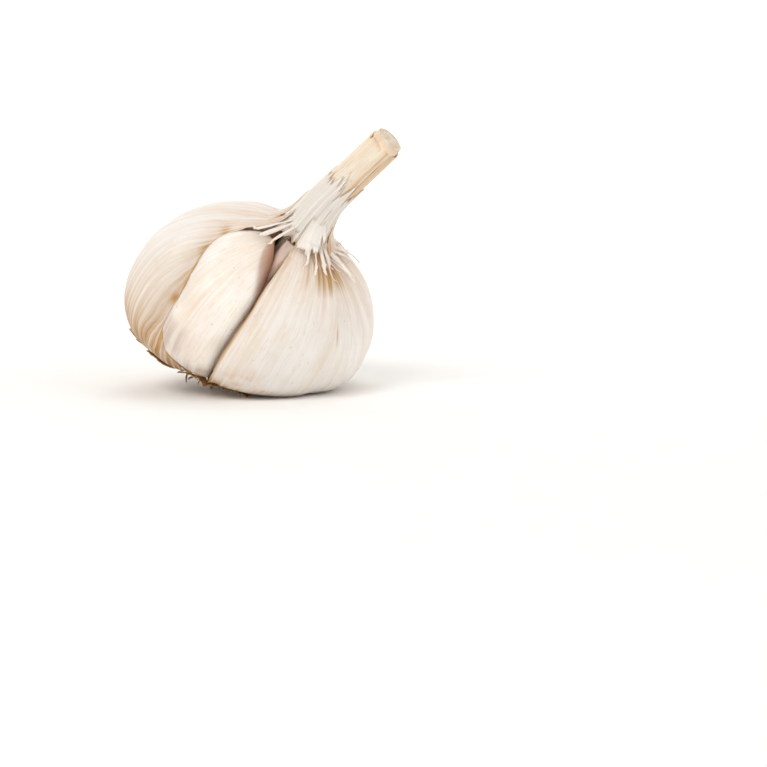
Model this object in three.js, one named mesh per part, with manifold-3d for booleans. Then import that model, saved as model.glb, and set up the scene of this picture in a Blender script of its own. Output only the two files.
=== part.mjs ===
// A garlic bulb lying tipped over: eight cloves round a stalk, a slim inner clove seen through the open seam,
// the torn outer skin, a ragged band of skin at the base, and a basal plate with its dried roots.
// Millimetres, +Z up. The bulb is built upright in its own frame, then tipped to the pose it rests in.
import * as THREE from 'three';
import { mergeVertices } from 'three/addons/utils/BufferGeometryUtils.js';
import Module from 'manifold-3d';

const wasm = await Module();
wasm.setup();

// Driving dimensions of the bulb, upright on its base
const BULB_RADIUS = 30;
const BELLY_HEIGHT = 16;
const CLOVE_TIP_HEIGHT = 40;
const CORE_RADIUS = 4.6;
const INNER_CLOVE_RADIUS = 12.4;
const OUTER_TIP_RADIUS = 8.6;
const NECK_LEAN = 2.0;
const LEAN_START_HEIGHT = 12;
const BASE_SLOPE = 0.21;
const BASE_SLOPE_END = 24;
const SEAM_GAP_DEG = 1.0;
const PIECE_GAP = 0.35;

const PLATE_RADIUS = 10.5;
const PLATE_TOP = 0.4;
const PLATE_THICKNESS = 2.2;
const ROOT_COUNT = 48;
const ROOT_RADIUS = 0.75;
const ROOT_LENGTH = 5.6;
const ROOT_SINK = 1.0;

const STALK_RADIUS = 3.9;
const STALK_LENGTH = 73.5;
const STALK_LEAN_DEG = 3;
const STALK_BEND_DEG = 13;
const STALK_BEND_START = 43;
const STALK_BEND_END = 56;
const SKIRT_HEIGHT = 41.3;
const SKIRT_RADIUS = 6.9;
const SKIRT_PLEATS = 13;

const SKIN_THICKNESS = 0.9;
const SKIN_FROM_DEG = 6.5;
const SKIN_TO_DEG = 330;
const SKIN_TEAR_DEG = 0.7;
const SKIN_LOW = 0.06;
const SKIN_HIGH = 0.915;
const BAND_FROM_DEG = 336;
const BAND_TO_DEG = 363;
const BAND_HIGH = 0.2;

// The resting pose: the axis leans right and towards the front by these shares
const AXIS = new THREE.Vector3(0.467, -0.311, 0.828).normalize();
const VIEW_ELEVATION_DEG = 8;
const FLOOR_CUT = 0.3;

// Each clove fills the wedge between two seams; the slants turn its seams by so much towards its tip
const CLOVES = [
  { name: 'clove_1', from: 268, to: 323, toSlant: -22, fat: 0.985, tall: 0.99, base: 1.0 },
  { name: 'clove_2', from: 323, to: 363.5, fromSlant: -22, toSlant: -20, fat: 0.98, tall: 0.96, base: 3.0, outer: true },
  { name: 'clove_3', from: 364.5, to: 416, fat: 0.98, tall: 0.99, base: 3.6, outer: true },
  { name: 'clove_4', from: 56, to: 97, fat: 0.98, tall: 0.97, base: 3.0 },
  { name: 'clove_5', from: 97, to: 139, fat: 1.0, tall: 0.99, base: 2.0 },
  { name: 'clove_6', from: 139, to: 181, fat: 0.97, tall: 1.0, base: 1.0 },
  { name: 'clove_7', from: 181, to: 226, fat: 0.98, tall: 0.98, base: 1.2 },
  { name: 'clove_8', from: 226, to: 268, fat: 0.97, tall: 1.0, base: 1.0 },
];
const INNER_CLOVE = { name: 'inner_clove', at: 2, half: 32, tip: 38.8, base: 1.6 };

// Angle, lowest place and width of each torn strip of leaf sheath that hangs from the skirt
const STRIPS = [
  { at: 69, low: 0.86, wide: 2.0 },
  { at: 84, low: 0.8, wide: 2.2 },
  { at: 107, low: 0.84, wide: 2.2 },
  { at: 125, low: 0.88, wide: 2.2 },
];

const COLOURS = {
  clove: '#ece2d8',
  innerClove: '#d9b9a2',
  skin: '#efe8e2',
  stalk: '#ecd9ba',
  root: '#c9a566',
};

const rad = THREE.MathUtils.degToRad;
const lerp = THREE.MathUtils.lerp;
const clamp = THREE.MathUtils.clamp;
const smooth = (x) => THREE.MathUtils.smoothstep(x, 0, 1);

// A repeatable random number from 0 to 1
function seeded(seed) {
  let state = seed;
  return () => {
    state = (state * 1664525 + 1013904223) % 4294967296;
    return state / 4294967296;
  };
}

// Cylindrical place in the upright bulb, with its neck bent over towards +Y and its base sloping up that way
function place(angle, radius, height) {
  const share = clamp((height - LEAN_START_HEIGHT) / (CLOVE_TIP_HEIGHT - LEAN_START_HEIGHT), 0, 1.2);
  const x = radius * Math.cos(angle);
  const y = radius * Math.sin(angle);
  const slope = BASE_SLOPE * (1 - smooth(height / BASE_SLOPE_END));
  return new THREE.Vector3(x, y + NECK_LEAN * share ** 1.5, height + slope * y);
}

// Closed body through rings of equal count; each end is closed with a fan to its own centre
function loft(rings) {
  const count = rings[0].length;
  const points = rings.flat();
  const faces = [];
  for (let i = 0; i + 1 < rings.length; i++) {
    for (let j = 0; j < count; j++) {
      const a = i * count + j;
      const b = i * count + ((j + 1) % count);
      faces.push(a, b, b + count, a, b + count, a + count);
    }
  }
  for (const [row, flip] of [[0, true], [rings.length - 1, false]]) {
    const centre = rings[row].reduce((sum, p) => sum.add(p), new THREE.Vector3()).divideScalar(count);
    points.push(centre);
    for (let j = 0; j < count; j++) {
      const a = row * count + j;
      const b = row * count + ((j + 1) % count);
      faces.push(...(flip ? [b, a, points.length - 1] : [a, b, points.length - 1]));
    }
  }
  return new THREE.BufferGeometry().setFromPoints(points).setIndex(faces);
}

// Closed thin sheet round a middle surface that is given by two shares from 0 to 1
function sheet(rows, columns, thickness, middle) {
  const points = [];
  const faces = [];
  const nudge = 1e-3;
  for (const side of [0.5, -0.5]) {
    for (let i = 0; i < rows; i++) {
      for (let j = 0; j < columns; j++) {
        const u = i / (rows - 1);
        const v = j / (columns - 1);
        const up = middle(u + nudge, v).sub(middle(u - nudge, v));
        const along = middle(u, v + nudge).sub(middle(u, v - nudge));
        const normal = along.cross(up).normalize();
        points.push(middle(u, v).addScaledVector(normal, side * thickness));
      }
    }
  }
  const index = (layer, i, j) => layer * rows * columns + i * columns + j;
  const quad = (a, b, c, d) => faces.push(a, b, c, a, c, d);
  const top = rows - 1;
  const last = columns - 1;
  for (let i = 0; i < top; i++) {
    for (let j = 0; j < last; j++) {
      quad(index(0, i, j), index(0, i, j + 1), index(0, i + 1, j + 1), index(0, i + 1, j));
      quad(index(1, i, j), index(1, i + 1, j), index(1, i + 1, j + 1), index(1, i, j + 1));
    }
    quad(index(0, i + 1, 0), index(1, i + 1, 0), index(1, i, 0), index(0, i, 0));
    quad(index(0, i, last), index(1, i, last), index(1, i + 1, last), index(0, i + 1, last));
  }
  for (let j = 0; j < last; j++) {
    quad(index(0, 0, j), index(1, 0, j), index(1, 0, j + 1), index(0, 0, j + 1));
    quad(index(0, top, j + 1), index(1, top, j + 1), index(1, top, j), index(0, top, j));
  }
  return new THREE.BufferGeometry().setFromPoints(points).setIndex(faces);
}

// A closed mesh as a solid for joins and cuts, and back
function solid(geometry) {
  const bare = new THREE.BufferGeometry().setAttribute('position', geometry.getAttribute('position'));
  if (geometry.index) bare.setIndex(geometry.index);
  const merged = mergeVertices(bare, 1e-4);
  return new wasm.Manifold(new wasm.Mesh({
    numProp: 3,
    vertProperties: new Float32Array(merged.attributes.position.array),
    triVerts: new Uint32Array(merged.index.array),
  }));
}

function geometryOf(body) {
  const mesh = body.getMesh();
  return new THREE.BufferGeometry()
    .setAttribute('position', new THREE.BufferAttribute(new Float32Array(mesh.vertProperties), 3))
    .setIndex(new THREE.BufferAttribute(new Uint32Array(mesh.triVerts), 1));
}

// Height and share of the full depth along a clove, from its base at 0 over the belly to its tip at 1
const BELLY_SHARE = 0.42;

function cloveProfile(clove, along) {
  const tip = clove.tall * CLOVE_TIP_HEIGHT;
  if (along < BELLY_SHARE) {
    const turn = (Math.PI / 2) * (along / BELLY_SHARE);
    const height = BELLY_HEIGHT - (BELLY_HEIGHT - clove.base) * Math.max(Math.cos(turn), 0) ** 0.8;
    return { height, depth: (1 - 0.93 * Math.cos(turn) ** 2) ** 0.46 };
  }
  const turn = (Math.PI / 2) * Math.min((along - BELLY_SHARE) / (1 - BELLY_SHARE), 1);
  const height = BELLY_HEIGHT + (tip - BELLY_HEIGHT) * Math.sin(turn) ** 0.95;
  return { height, depth: Math.cos(turn) ** (clove.outer ? 1.05 : 1.25) };
}

// Centre and half width of the wedge of a clove, in degrees, at a place along it
function wedge(clove, along) {
  const slant = smooth((along - 0.45) / 0.4);
  const late = smooth((along - 0.6) / 0.36);
  const from = clove.from + (clove.fromSlant ?? 0) * slant;
  const to = clove.to + (clove.toSlant ?? 0) * (clove.outer ? late : slant);
  return { at: (from + to) / 2, half: (to - from) / 2 };
}

function innerRadius(clove, height) {
  if (!clove.outer) return CORE_RADIUS;
  return PIECE_GAP + lerp(INNER_CLOVE_RADIUS, OUTER_TIP_RADIUS, smooth((height - 18) / 20));
}

// Radius of the clove's face: share 1 is its outer face, share 0 its face towards the stalk
function faceRadius(clove, spot, share) {
  const inner = innerRadius(clove, spot.height);
  return inner + (BULB_RADIUS * clove.fat - inner) * spot.depth * share;
}

// Share of the wedge that a clove fills: nearly all of it up to the shoulder, then drawing in to the tip
function widthShare(along) {
  const up = clamp((along - BELLY_SHARE) / (1 - BELLY_SHARE), 0, 1);
  return 1 - 0.62 * up ** 4;
}

const SECTION_POINTS = 20;
const SECTION_POWER = 4;
const CLOVE_RINGS = 15;

function cloveBody(clove) {
  const rings = [];
  for (let i = 0; i < CLOVE_RINGS; i++) {
    const along = i / (CLOVE_RINGS - 0.7);
    const spot = cloveProfile(clove, along);
    const { at, half } = wedge(clove, along);
    const reach = rad((half - SEAM_GAP_DEG) * widthShare(along));
    const ring = [];
    for (let j = 0; j < SECTION_POINTS; j++) {
      const turn = (2 * Math.PI * (j + 0.5)) / SECTION_POINTS;
      const across = Math.sign(Math.sin(turn)) * Math.abs(Math.sin(turn)) ** (2 / SECTION_POWER);
      const out = Math.sign(Math.cos(turn)) * Math.abs(Math.cos(turn)) ** (2 / SECTION_POWER);
      ring.push(place(rad(at) + reach * across, faceRadius(clove, spot, 0.5 + 0.5 * out), spot.height));
    }
    rings.push(ring);
  }
  return loft(rings);
}

// The slim clove of the second whorl, between the stalk and the two open cloves
function innerCloveBody() {
  const rings = [];
  for (let i = 0; i < CLOVE_RINGS; i++) {
    const share = 0.5 - 0.5 * Math.cos((Math.PI * i) / (CLOVE_RINGS - 0.6));
    const height = lerp(INNER_CLOVE.base, INNER_CLOVE.tip, share);
    const outer = lerp(INNER_CLOVE_RADIUS, OUTER_TIP_RADIUS, smooth((height - 18) / 20)) - PIECE_GAP;
    const half = rad(INNER_CLOVE.half * (1 - 0.4 * share ** 2));
    const ring = [];
    for (let j = 0; j < SECTION_POINTS; j++) {
      const turn = (2 * Math.PI * (j + 0.5)) / SECTION_POINTS;
      const across = Math.sign(Math.sin(turn)) * Math.abs(Math.sin(turn)) ** 0.8;
      const radius = lerp(CORE_RADIUS, outer, 0.5 + 0.5 * Math.cos(turn));
      ring.push(place(rad(INNER_CLOVE.at) + half * across, radius, height));
    }
    rings.push(ring);
  }
  return loft(rings);
}

// Point of the surface that a skin makes when it is drawn over the cloves and across their seams
function drape(angleDeg, along) {
  const turn = ((angleDeg % 360) + 360) % 360;
  const valley = lerp(0.04, 0.34, smooth((along - 0.55) / 0.35));
  let radius = 0;
  let height = 0;
  let weight = 0;
  for (const clove of CLOVES) {
    const { at, half } = wedge(clove, along);
    const off = ((turn - at + 900) % 360) - 180;
    const t = Math.abs(off) / half;
    const pull = smooth((1.35 - t) / 0.7);
    if (pull === 0) continue;
    const spot = cloveProfile(clove, along);
    radius += pull * faceRadius(clove, spot, 1 - valley * Math.min(t, 1) ** 4);
    height += pull * spot.height;
    weight += pull;
  }
  return place(rad(angleDeg), radius / weight, height / weight);
}

// The same point moved outwards, square to the surface
function drapeOver(angleDeg, along, offset) {
  const step = 0.004;
  const up = drape(angleDeg, along + step).sub(drape(angleDeg, along - step));
  const round = drape(angleDeg + 0.5, along).sub(drape(angleDeg - 0.5, along));
  return drape(angleDeg, along).addScaledVector(round.cross(up).normalize(), offset);
}

const SKIN_OFFSET = PIECE_GAP + SKIN_THICKNESS / 2;

// The outer skin, torn away over one clove and the open seam beside it
function outerSkin() {
  const tear = (share, phase) => SKIN_TEAR_DEG * (Math.sin(9 * share + phase) + 0.6 * Math.sin(23 * share + phase));
  return sheet(21, 64, SKIN_THICKNESS, (up, round) => {
    const bare = CLOVES[0].toSlant * smooth((up * SKIN_HIGH - 0.45) / 0.4);
    const angle = lerp(SKIN_FROM_DEG + tear(up, 0.4), SKIN_TO_DEG + bare + tear(up, 2.1), round);
    const ragged = 0.008 * Math.sin(angle * 0.31) + 0.006 * Math.sin(angle * 0.73);
    return drapeOver(angle, lerp(SKIN_LOW, SKIN_HIGH + ragged, up), SKIN_OFFSET);
  });
}

// The low band of skin that is left under the bare clove, with a ragged upper edge
function baseSkin() {
  const ragged = (share) => 0.02 * Math.sin(17 * share + 0.5) + 0.015 * Math.sin(41 * share + 1.7);
  return sheet(6, 14, SKIN_THICKNESS, (up, round) => {
    const angle = lerp(BAND_FROM_DEG, BAND_TO_DEG, round);
    return drapeOver(angle, lerp(SKIN_LOW, BAND_HIGH + ragged(round), up), SKIN_OFFSET);
  });
}

// One torn strip of leaf sheath, from inside the skirt down over the shoulder of the cloves
function sheathStrip(strip) {
  const offset = SKIN_OFFSET + SKIN_THICKNESS + PIECE_GAP + 0.1;
  const side = new THREE.Vector3(-Math.sin(rad(strip.at)), Math.cos(rad(strip.at)), 0);
  const over = (along) => {
    const up = drape(strip.at, along + 0.004).sub(drape(strip.at, along - 0.004));
    return drape(strip.at, along).addScaledVector(side.clone().cross(up).normalize(), offset);
  };
  const last = over(0.93);
  const root = place(rad(strip.at), 4.2, SKIRT_HEIGHT + 1.2);
  return sheet(8, 3, SKIN_THICKNESS, (up, across) => {
    const centre = up < 0.75 ? over(lerp(strip.low, 0.93, up / 0.75)) : last.clone().lerp(root, (up - 0.75) / 0.25);
    return centre.addScaledVector(side, (across - 0.5) * strip.wide * lerp(0.45, 1, Math.min(up, 1)));
  });
}

// Radius at each length of the stalk, straight inside the bulb and bent over beyond the skirt
const STALK_PROFILE = [
  [2.2, 3.4], [20, 3.5], [SKIRT_HEIGHT - 0.35, 3.7], [SKIRT_HEIGHT - 0.3, SKIRT_RADIUS - 0.6],
  [SKIRT_HEIGHT + 0.3, SKIRT_RADIUS], [SKIRT_HEIGHT + 1.4, 6.1], [SKIRT_HEIGHT + 2.8, 5.3], [46.4, 4.7],
  [49, 4.25], [52, 4.05], [55, STALK_RADIUS], [60, 3.85], [66, 3.8], [STALK_LENGTH, 3.9],
];

// The stalk with the pleated skirt of dried leaf sheaths where it leaves the cloves
function stalk() {
  const sides = 26;
  const rings = [];
  let centre = place(0, 0, STALK_PROFILE[0][0]);
  let previous = STALK_PROFILE[0][0];
  for (const [along, radius] of STALK_PROFILE) {
    const bend = smooth((along - STALK_BEND_START) / (STALK_BEND_END - STALK_BEND_START));
    const free = along > STALK_BEND_START;
    const tilt = free ? rad(STALK_LEAN_DEG + STALK_BEND_DEG * bend) : 0;
    const step = along - previous;
    if (free) centre = centre.clone().add(new THREE.Vector3(0, step * Math.sin(tilt), step * Math.cos(tilt)));
    else centre = place(0, 0, along);
    previous = along;
    const skirt = clamp(1 - Math.abs(along - SKIRT_HEIGHT) / 9, 0, 1);
    const ring = [];
    for (let j = 0; j < sides; j++) {
      const turn = (2 * Math.PI * j) / sides;
      const pleat = 1 + 0.08 * skirt * Math.cos(SKIRT_PLEATS * turn) + 0.02 * Math.cos(5 * turn);
      const x = radius * pleat * Math.cos(turn);
      const y = radius * pleat * Math.sin(turn);
      ring.push(new THREE.Vector3(x, y * Math.cos(tilt), -y * Math.sin(tilt)).add(centre));
    }
    rings.push(ring);
  }
  let body = solid(loft(rings));
  for (const strip of STRIPS) body = body.add(solid(sheathStrip(strip)));
  return body;
}

// The basal plate with its dried roots, longest on the side that the bulb lies on
function rootPlate(lowAngle) {
  const bottom = PLATE_TOP - PLATE_THICKNESS;
  const outline = [
    [0, bottom - 0.7], [PLATE_RADIUS * 0.6, bottom - 0.4], [PLATE_RADIUS * 0.9, bottom + 0.5],
    [PLATE_RADIUS, bottom + 1.3], [PLATE_RADIUS * 0.97, PLATE_TOP], [0, PLATE_TOP],
  ].map(([radius, height]) => new THREE.Vector2(radius, height));
  const plate = new THREE.LatheGeometry(outline, 32).rotateX(Math.PI / 2);
  const spots = plate.getAttribute('position');
  for (let i = 0; i < spots.count; i++) {
    const spot = place(Math.atan2(spots.getY(i), spots.getX(i)), Math.hypot(spots.getX(i), spots.getY(i)), spots.getZ(i));
    spots.setXYZ(i, spot.x, spot.y, spot.z);
  }
  let body = solid(plate);
  const random = seeded(7);
  const golden = Math.PI * (3 - Math.sqrt(5));
  for (let i = 0; i < ROOT_COUNT; i++) {
    const angle = i * golden;
    const start = 0.88 * PLATE_RADIUS * Math.sqrt((i + 0.5) / ROOT_COUNT);
    const splay = 0.1 + (0.3 * start) / PLATE_RADIUS + 0.1 * random();
    const lowSide = Math.max(Math.cos(angle - lowAngle), 0) ** 3;
    const length = ROOT_SINK + ROOT_LENGTH * (0.38 + 0.5 * lowSide) * (0.75 + 0.25 * random());
    const curl = 0.5 * (random() - 0.5);
    const rings = [];
    for (let k = 0; k < 4; k++) {
      const share = k / 3;
      const radius = start + splay * length * share;
      const turn = angle + (3 * curl * share * share) / Math.max(start, 3);
      const height = bottom + ROOT_SINK - length * share;
      const centre = place(turn, radius, height);
      const thick = ROOT_RADIUS * (1 - 0.45 * share);
      const ring = [];
      for (let j = 0; j < 5; j++) {
        const around = -(2 * Math.PI * j) / 5;
        ring.push(new THREE.Vector3(thick * Math.cos(around), thick * Math.sin(around), 0).add(centre));
      }
      rings.push(ring);
    }
    body = body.add(solid(loft(rings)));
  }
  return body;
}

// Turns the upright bulb to its resting pose, with the skin pressed a little flat where it rests
function restingPose(lowest) {
  const elevation = rad(VIEW_ELEVATION_DEG);
  const front = new THREE.Vector3(0, -Math.cos(elevation), Math.sin(elevation));
  const x = front.addScaledVector(AXIS, -front.dot(AXIS)).normalize();
  const y = new THREE.Vector3().crossVectors(AXIS, x);
  const turned = new THREE.Matrix4().makeBasis(x, y, AXIS);
  const places = lowest.clone().applyMatrix4(turned).getAttribute('position');
  const bottom = new THREE.Box3().setFromBufferAttribute(places).min.z;
  return turned.setPosition(0, 0, -bottom - FLOOR_CUT);
}

function finish(color, roughness) {
  return new THREE.MeshStandardMaterial({ color, roughness, metalness: 0 });
}

function piece(name, geometry, material) {
  const mesh = new THREE.Mesh(geometry, material);
  mesh.name = name;
  return mesh;
}

const skin = outerSkin();
const pose = restingPose(skin);
const upright = pose.clone().invert();
const down = new THREE.Vector3(0, 0, -1).transformDirection(upright);
const ground = solid(new THREE.BoxGeometry(300, 300, 60).translate(0, 0, -30).applyMatrix4(upright));
const onGround = (body) => geometryOf(body.subtract(ground));

const bulb = new THREE.Group();
for (const clove of CLOVES) bulb.add(piece(clove.name, cloveBody(clove), finish(COLOURS.clove, 0.45)));
bulb.add(piece(INNER_CLOVE.name, innerCloveBody(), finish(COLOURS.innerClove, 0.5)));
bulb.add(piece('stalk', geometryOf(stalk()), finish(COLOURS.stalk, 0.7)));
bulb.add(piece('root_plate', onGround(rootPlate(Math.atan2(down.y, down.x))), finish(COLOURS.root, 0.85)));
bulb.add(piece('outer_skin', onGround(solid(skin)), finish(COLOURS.skin, 0.5)));
bulb.add(piece('base_skin', onGround(solid(baseSkin())), finish(COLOURS.skin, 0.5)));
bulb.applyMatrix4(pose);

// The origin is on the ground, under the middle of the whole bulb
const middle = new THREE.Box3().setFromObject(bulb, true).getCenter(new THREE.Vector3());
bulb.position.x -= middle.x;
bulb.position.y -= middle.y;

const part = new THREE.Group();
part.add(bulb);
export default part;
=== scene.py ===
"""A dried garlic bulb lying tipped over on a pale floor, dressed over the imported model."""

import itertools
import math

import bpy
import numpy as np
from bpy.props import FloatProperty, FloatVectorProperty, IntProperty, PointerProperty
from mathutils import Matrix, Vector


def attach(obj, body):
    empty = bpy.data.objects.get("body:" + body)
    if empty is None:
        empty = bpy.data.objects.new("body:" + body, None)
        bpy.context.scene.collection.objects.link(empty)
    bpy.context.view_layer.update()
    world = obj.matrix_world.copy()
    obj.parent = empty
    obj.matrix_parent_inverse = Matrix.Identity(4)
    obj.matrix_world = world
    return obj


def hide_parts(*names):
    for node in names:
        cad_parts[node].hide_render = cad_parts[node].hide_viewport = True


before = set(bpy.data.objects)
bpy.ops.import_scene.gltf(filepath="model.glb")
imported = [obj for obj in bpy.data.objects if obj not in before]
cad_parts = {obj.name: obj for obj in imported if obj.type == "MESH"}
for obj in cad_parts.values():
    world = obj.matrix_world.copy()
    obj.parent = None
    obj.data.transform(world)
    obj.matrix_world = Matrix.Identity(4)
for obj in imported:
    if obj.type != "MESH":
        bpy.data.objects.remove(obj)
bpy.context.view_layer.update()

bl_info = {
    "name": "Garlic Bulb",
    "version": (1, 0, 0),
    "blender": (4, 5, 0),
    "location": "3D View > Sidebar > Garlic",
    "description": "Builds a dried garlic bulb with its cloves, papery skin, stalk and roots",
    "category": "Add Mesh",
}

MM = 0.001
DEGREE = np.radians(1)

# The bulb is laid out upright in its own frame, in millimetres, and then tipped to the pose it rests in
BULB_AXIS = (0.467, -0.311, 0.828)
BULB_FOOT = (-10.681, 5.194, 6.315)
VIEW_ELEVATION = 8.0
FLOOR_CLEARANCE = 0.02

# The upright bulb: its neck leans to one side, and its base slopes the same way
BELLY_HEIGHT = 16.0
CORE_RADIUS = 4.6
INNER_CLOVE_RADIUS = 12.4
OUTER_TIP_RADIUS = 8.6
PIECE_GAP = 0.35
NECK_LEAN = 2.0
LEAN_START = 12.0
LEAN_RUN = 28.0
BASE_SLOPE = 0.21
BASE_SLOPE_END = 24.0

# Shares along a clove, from its base at 0 to its tip at 1
BELLY_SHARE = 0.42
SKIN_LOW = 0.06
SKIN_NECK = 0.9

# Degrees that a clove keeps back from its seams, and how much it narrows at its tip
SEAM_INSET = 1.0
TIP_NARROWING = 0.62

# The stalk is straight inside the bulb, and bends over beyond the neck
STALK_BEND_START = 43.0
STALK_BEND_RUN = 13.0
STALK_LEAN = 3.0
STALK_BEND = 13.0
STALK_REACH_MOST = 90.0

# The grain is laid out on a drum of this radius, and this tall along a clove, in millimetres
GRAIN_RADIUS = 30.0
GRAIN_HEIGHT = 62.0

# A clove's mesh, how boxy its section is, and the pitch of its dents
CLOVE_RINGS = 76
CLOVE_SIDES = 72
SOFT_CORNER = 0.5
DENT_PITCH = 9.0

# Meshes of the skin and the strips
SKIN_COLUMNS = 330
SKIN_BODY_ROWS = 104
SKIN_NECK_ROWS = 42
SKIN_SMOOTHINGS = 5
STRIP_POINTS = 60

# Rings across the stalk's cut end, as shares of its radius
CUT_END_SHARES = [0.93, 0.86, 0.8, 0.72, 0.66, 0.56, 0.5, 0.38, 0.3, 0.18, 0.08]

# Each clove fills the wedge between two seams, in degrees; the slants turn its seams towards its tip,
# corner is how crisp its open side is, and dents is the seed of its dents
CLOVES = {
    "clove_1": dict(start=268, end=323, end_slant=-22, fat=0.985, tall=0.99, base=1.0, dents=10),
    "clove_2": dict(
        start=323, end=363.5, start_slant=-22, end_slant=-20, fat=0.98, tall=0.96, base=3.0, dents=30,
        outer=True, corner=0.24,
    ),
    "clove_3": dict(start=364.5, end=416, fat=0.98, tall=0.99, base=3.6, dents=36, outer=True),
    "clove_4": dict(start=56, end=97, fat=0.98, tall=0.97, base=3.0, dents=30),
    "clove_5": dict(start=97, end=139, fat=1.0, tall=0.99, base=2.0, dents=20),
    "clove_6": dict(start=139, end=181, fat=0.97, tall=1.0, base=1.0, dents=10),
    "clove_7": dict(start=181, end=226, fat=0.98, tall=0.98, base=1.2, dents=12),
    "clove_8": dict(start=226, end=268, fat=0.97, tall=1.0, base=1.0, dents=10),
}

# Torn strips of leaf sheath: angle at the neck, angle and place of the free end, width, outward curl
STRIPS = [
    (62, 60, 0.87, 1.0, 0.6),
    (69, 70, 0.83, 1.5, 1.0),
    (76, 79, 0.80, 0.9, 1.6),
    (84, 86, 0.77, 1.6, 0.9),
    (93, 96, 0.81, 1.0, 1.8),
    (101, 104, 0.84, 1.3, 1.0),
    (109, 114, 0.80, 1.6, 1.4),
    (119, 122, 0.85, 1.1, 1.2),
    (128, 131, 0.86, 1.5, 0.9),
    (318, 316, 0.9, 1.5, 0.4),
    (329, 327, 0.9, 1.2, 0.6),
    (340, 338, 0.892, 1.0, 0.5),
    (22, 20, 0.87, 1.0, 0.3),
    (31, 31, 0.84, 0.9, 0.5),
    (40, 42, 0.86, 1.3, 0.3),
    (47, 48, 0.83, 0.7, 0.8),
    (55, 55, 0.85, 1.0, 0.5),
]

# Browned blemishes along the torn edge: place along the clove, length as a share of it, strength
TEAR_BLEMISHES = [(0.45, 0.022, 1.0), (0.52, 0.05, 0.45), (0.655, 0.03, 0.95), (0.76, 0.03, 0.7)]

# The neck of the skin over the stalk: radius, height, and the share of the pleats that is left there
SKIN_NECK_RINGS = [
    (8.5, 40.7, 1.0),
    (7.0, 42.6, 0.85),
    (5.9, 44.6, 0.6),
    (5.2, 47.4, 0.45),
    (4.75, 51.0, 0.35),
    (4.5, 55.0, 0.25),
]

# Two leaf sheaths: height of the hem and of the tips, how far the hem hangs, and how far they sit inwards
SHEATHS = [(40.6, 57.0, 1.6, 0.0), (41.6, 62.0, 0.8, 0.35)]
SHEATH_HEIGHTS = [36.0, 38.5, 40.5, 42.0, 44.0, 47.0, 51.0, 56.0, 64.0]
SHEATH_RADII = [11.5, 9.4, 7.4, 6.5, 5.6, 4.95, 4.5, 4.35, 4.3]

# The flap at the front of the neck, from its root to its free end
FLAP_DROPS = [0, 0.2, 0.5, 0.8, 1.1]
FLAP_RADII = [4.3, 6.3, 8.6, 10.3, 11.6]
FLAP_HEIGHTS = [48.0, 45.6, 43.6, 42.1, 40.6]

# Half section of the basal plate, from the middle of its top to the middle of its underside: share of its
# radius, and height
PLATE_OUTLINE = [
    (0.05, 0.4), (0.5, 0.4), (0.9, 0.4), (0.97, 0.38), (1.0, 0.1), (1.01, -0.3), (0.985, -0.8),
    (0.95, -1.15), (0.9, -1.35), (0.84, -1.5), (0.78, -1.75), (0.7, -1.8), (0.62, -2.1),
    (0.54, -2.15), (0.46, -2.35), (0.36, -2.4), (0.26, -2.5), (0.16, -2.45), (0.06, -2.5),
]
ROOT_RINGS = 12
ROOT_SIDES = 7
ROOT_SEED = 7

# The camera, in millimetres, with a lens that frames the photograph's square of this many pixels
CAMERA_PLACE = (29.58, -597.36, 84.86)
SENSOR_WIDTH = 36.0
PICTURE_WIDTH = 767
FOCAL_PIXELS = 2439
FLOOR_SIDES = 96
FLOOR_SWEEP = 0.5
FLOOR_RIM_HEIGHT = 1.3


def linear(code):
    """Linear RGB of an sRGB hex colour."""
    shares = [int(code[i : i + 2], 16) / 255 for i in (1, 3, 5)]
    return tuple(s / 12.92 if s <= 0.04045 else ((s + 0.055) / 1.055) ** 2.4 for s in shares)


def colour(label, code, note):
    """Colour setting from an sRGB hex colour."""
    return FloatVectorProperty(
        name=label, description=note, subtype="COLOR", size=3, min=0.0, max=1.0, default=linear(code)
    )


def length(label, size, note):
    """Length setting from a size in millimetres."""
    return FloatProperty(name=label, description=note, unit="LENGTH", min=0.0, precision=5, default=size * MM)


def lamp_power(label, watts, note):
    """Power setting of a lamp."""
    return FloatProperty(name=label, description=note, unit="POWER", min=0.0, default=watts)


class GarlicCloveSettings(bpy.types.PropertyGroup):
    bulb_radius: length("Bulb radius", 30.0, "Radius of the bulb at its belly")
    tip_height: length("Tip height", 40.0, "Height of the highest clove tip above the base")
    crown: length("Crown", 1.1, "How far the outer face of a clove falls off towards its seams")
    dent: length("Dents", 0.22, "Depth of the soft dents in a clove")
    fibre: length("Fibre spacing", 0.9, "Spacing of the fibres that run up the clove skin at the belly")
    cream: colour("Clove skin", "#f5eee7", "Satin skin of a clove")
    streak: colour("Streaks", "#dfc7aa", "Yellowed streaks along a clove")
    # Greyer pink over the lower part of a clove: partly its own tint, partly painted shade on the lower face
    lower_grey_and_shade: colour("Lower face", "#cbb9ac", "Greyed pink of the lower face, where the skin is rubbed thin")
    base: colour("Clove base", "#c4a175", "Tan at the foot of a clove")
    # Partly painted shade: it darkens the faces that turn inwards and the open side of the bare clove
    flank_brown_and_shade: colour("Flanks", "#c98f6a", "Brown of the faces that lie against the next clove")
    blush: colour("Inner clove", "#ffe9dc", "Pale pink of the clove in the open seam")
    blush_deep: colour("Inner clove shade", "#d9a888", "Pinkish tan along the fibres of the inner clove")


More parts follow.
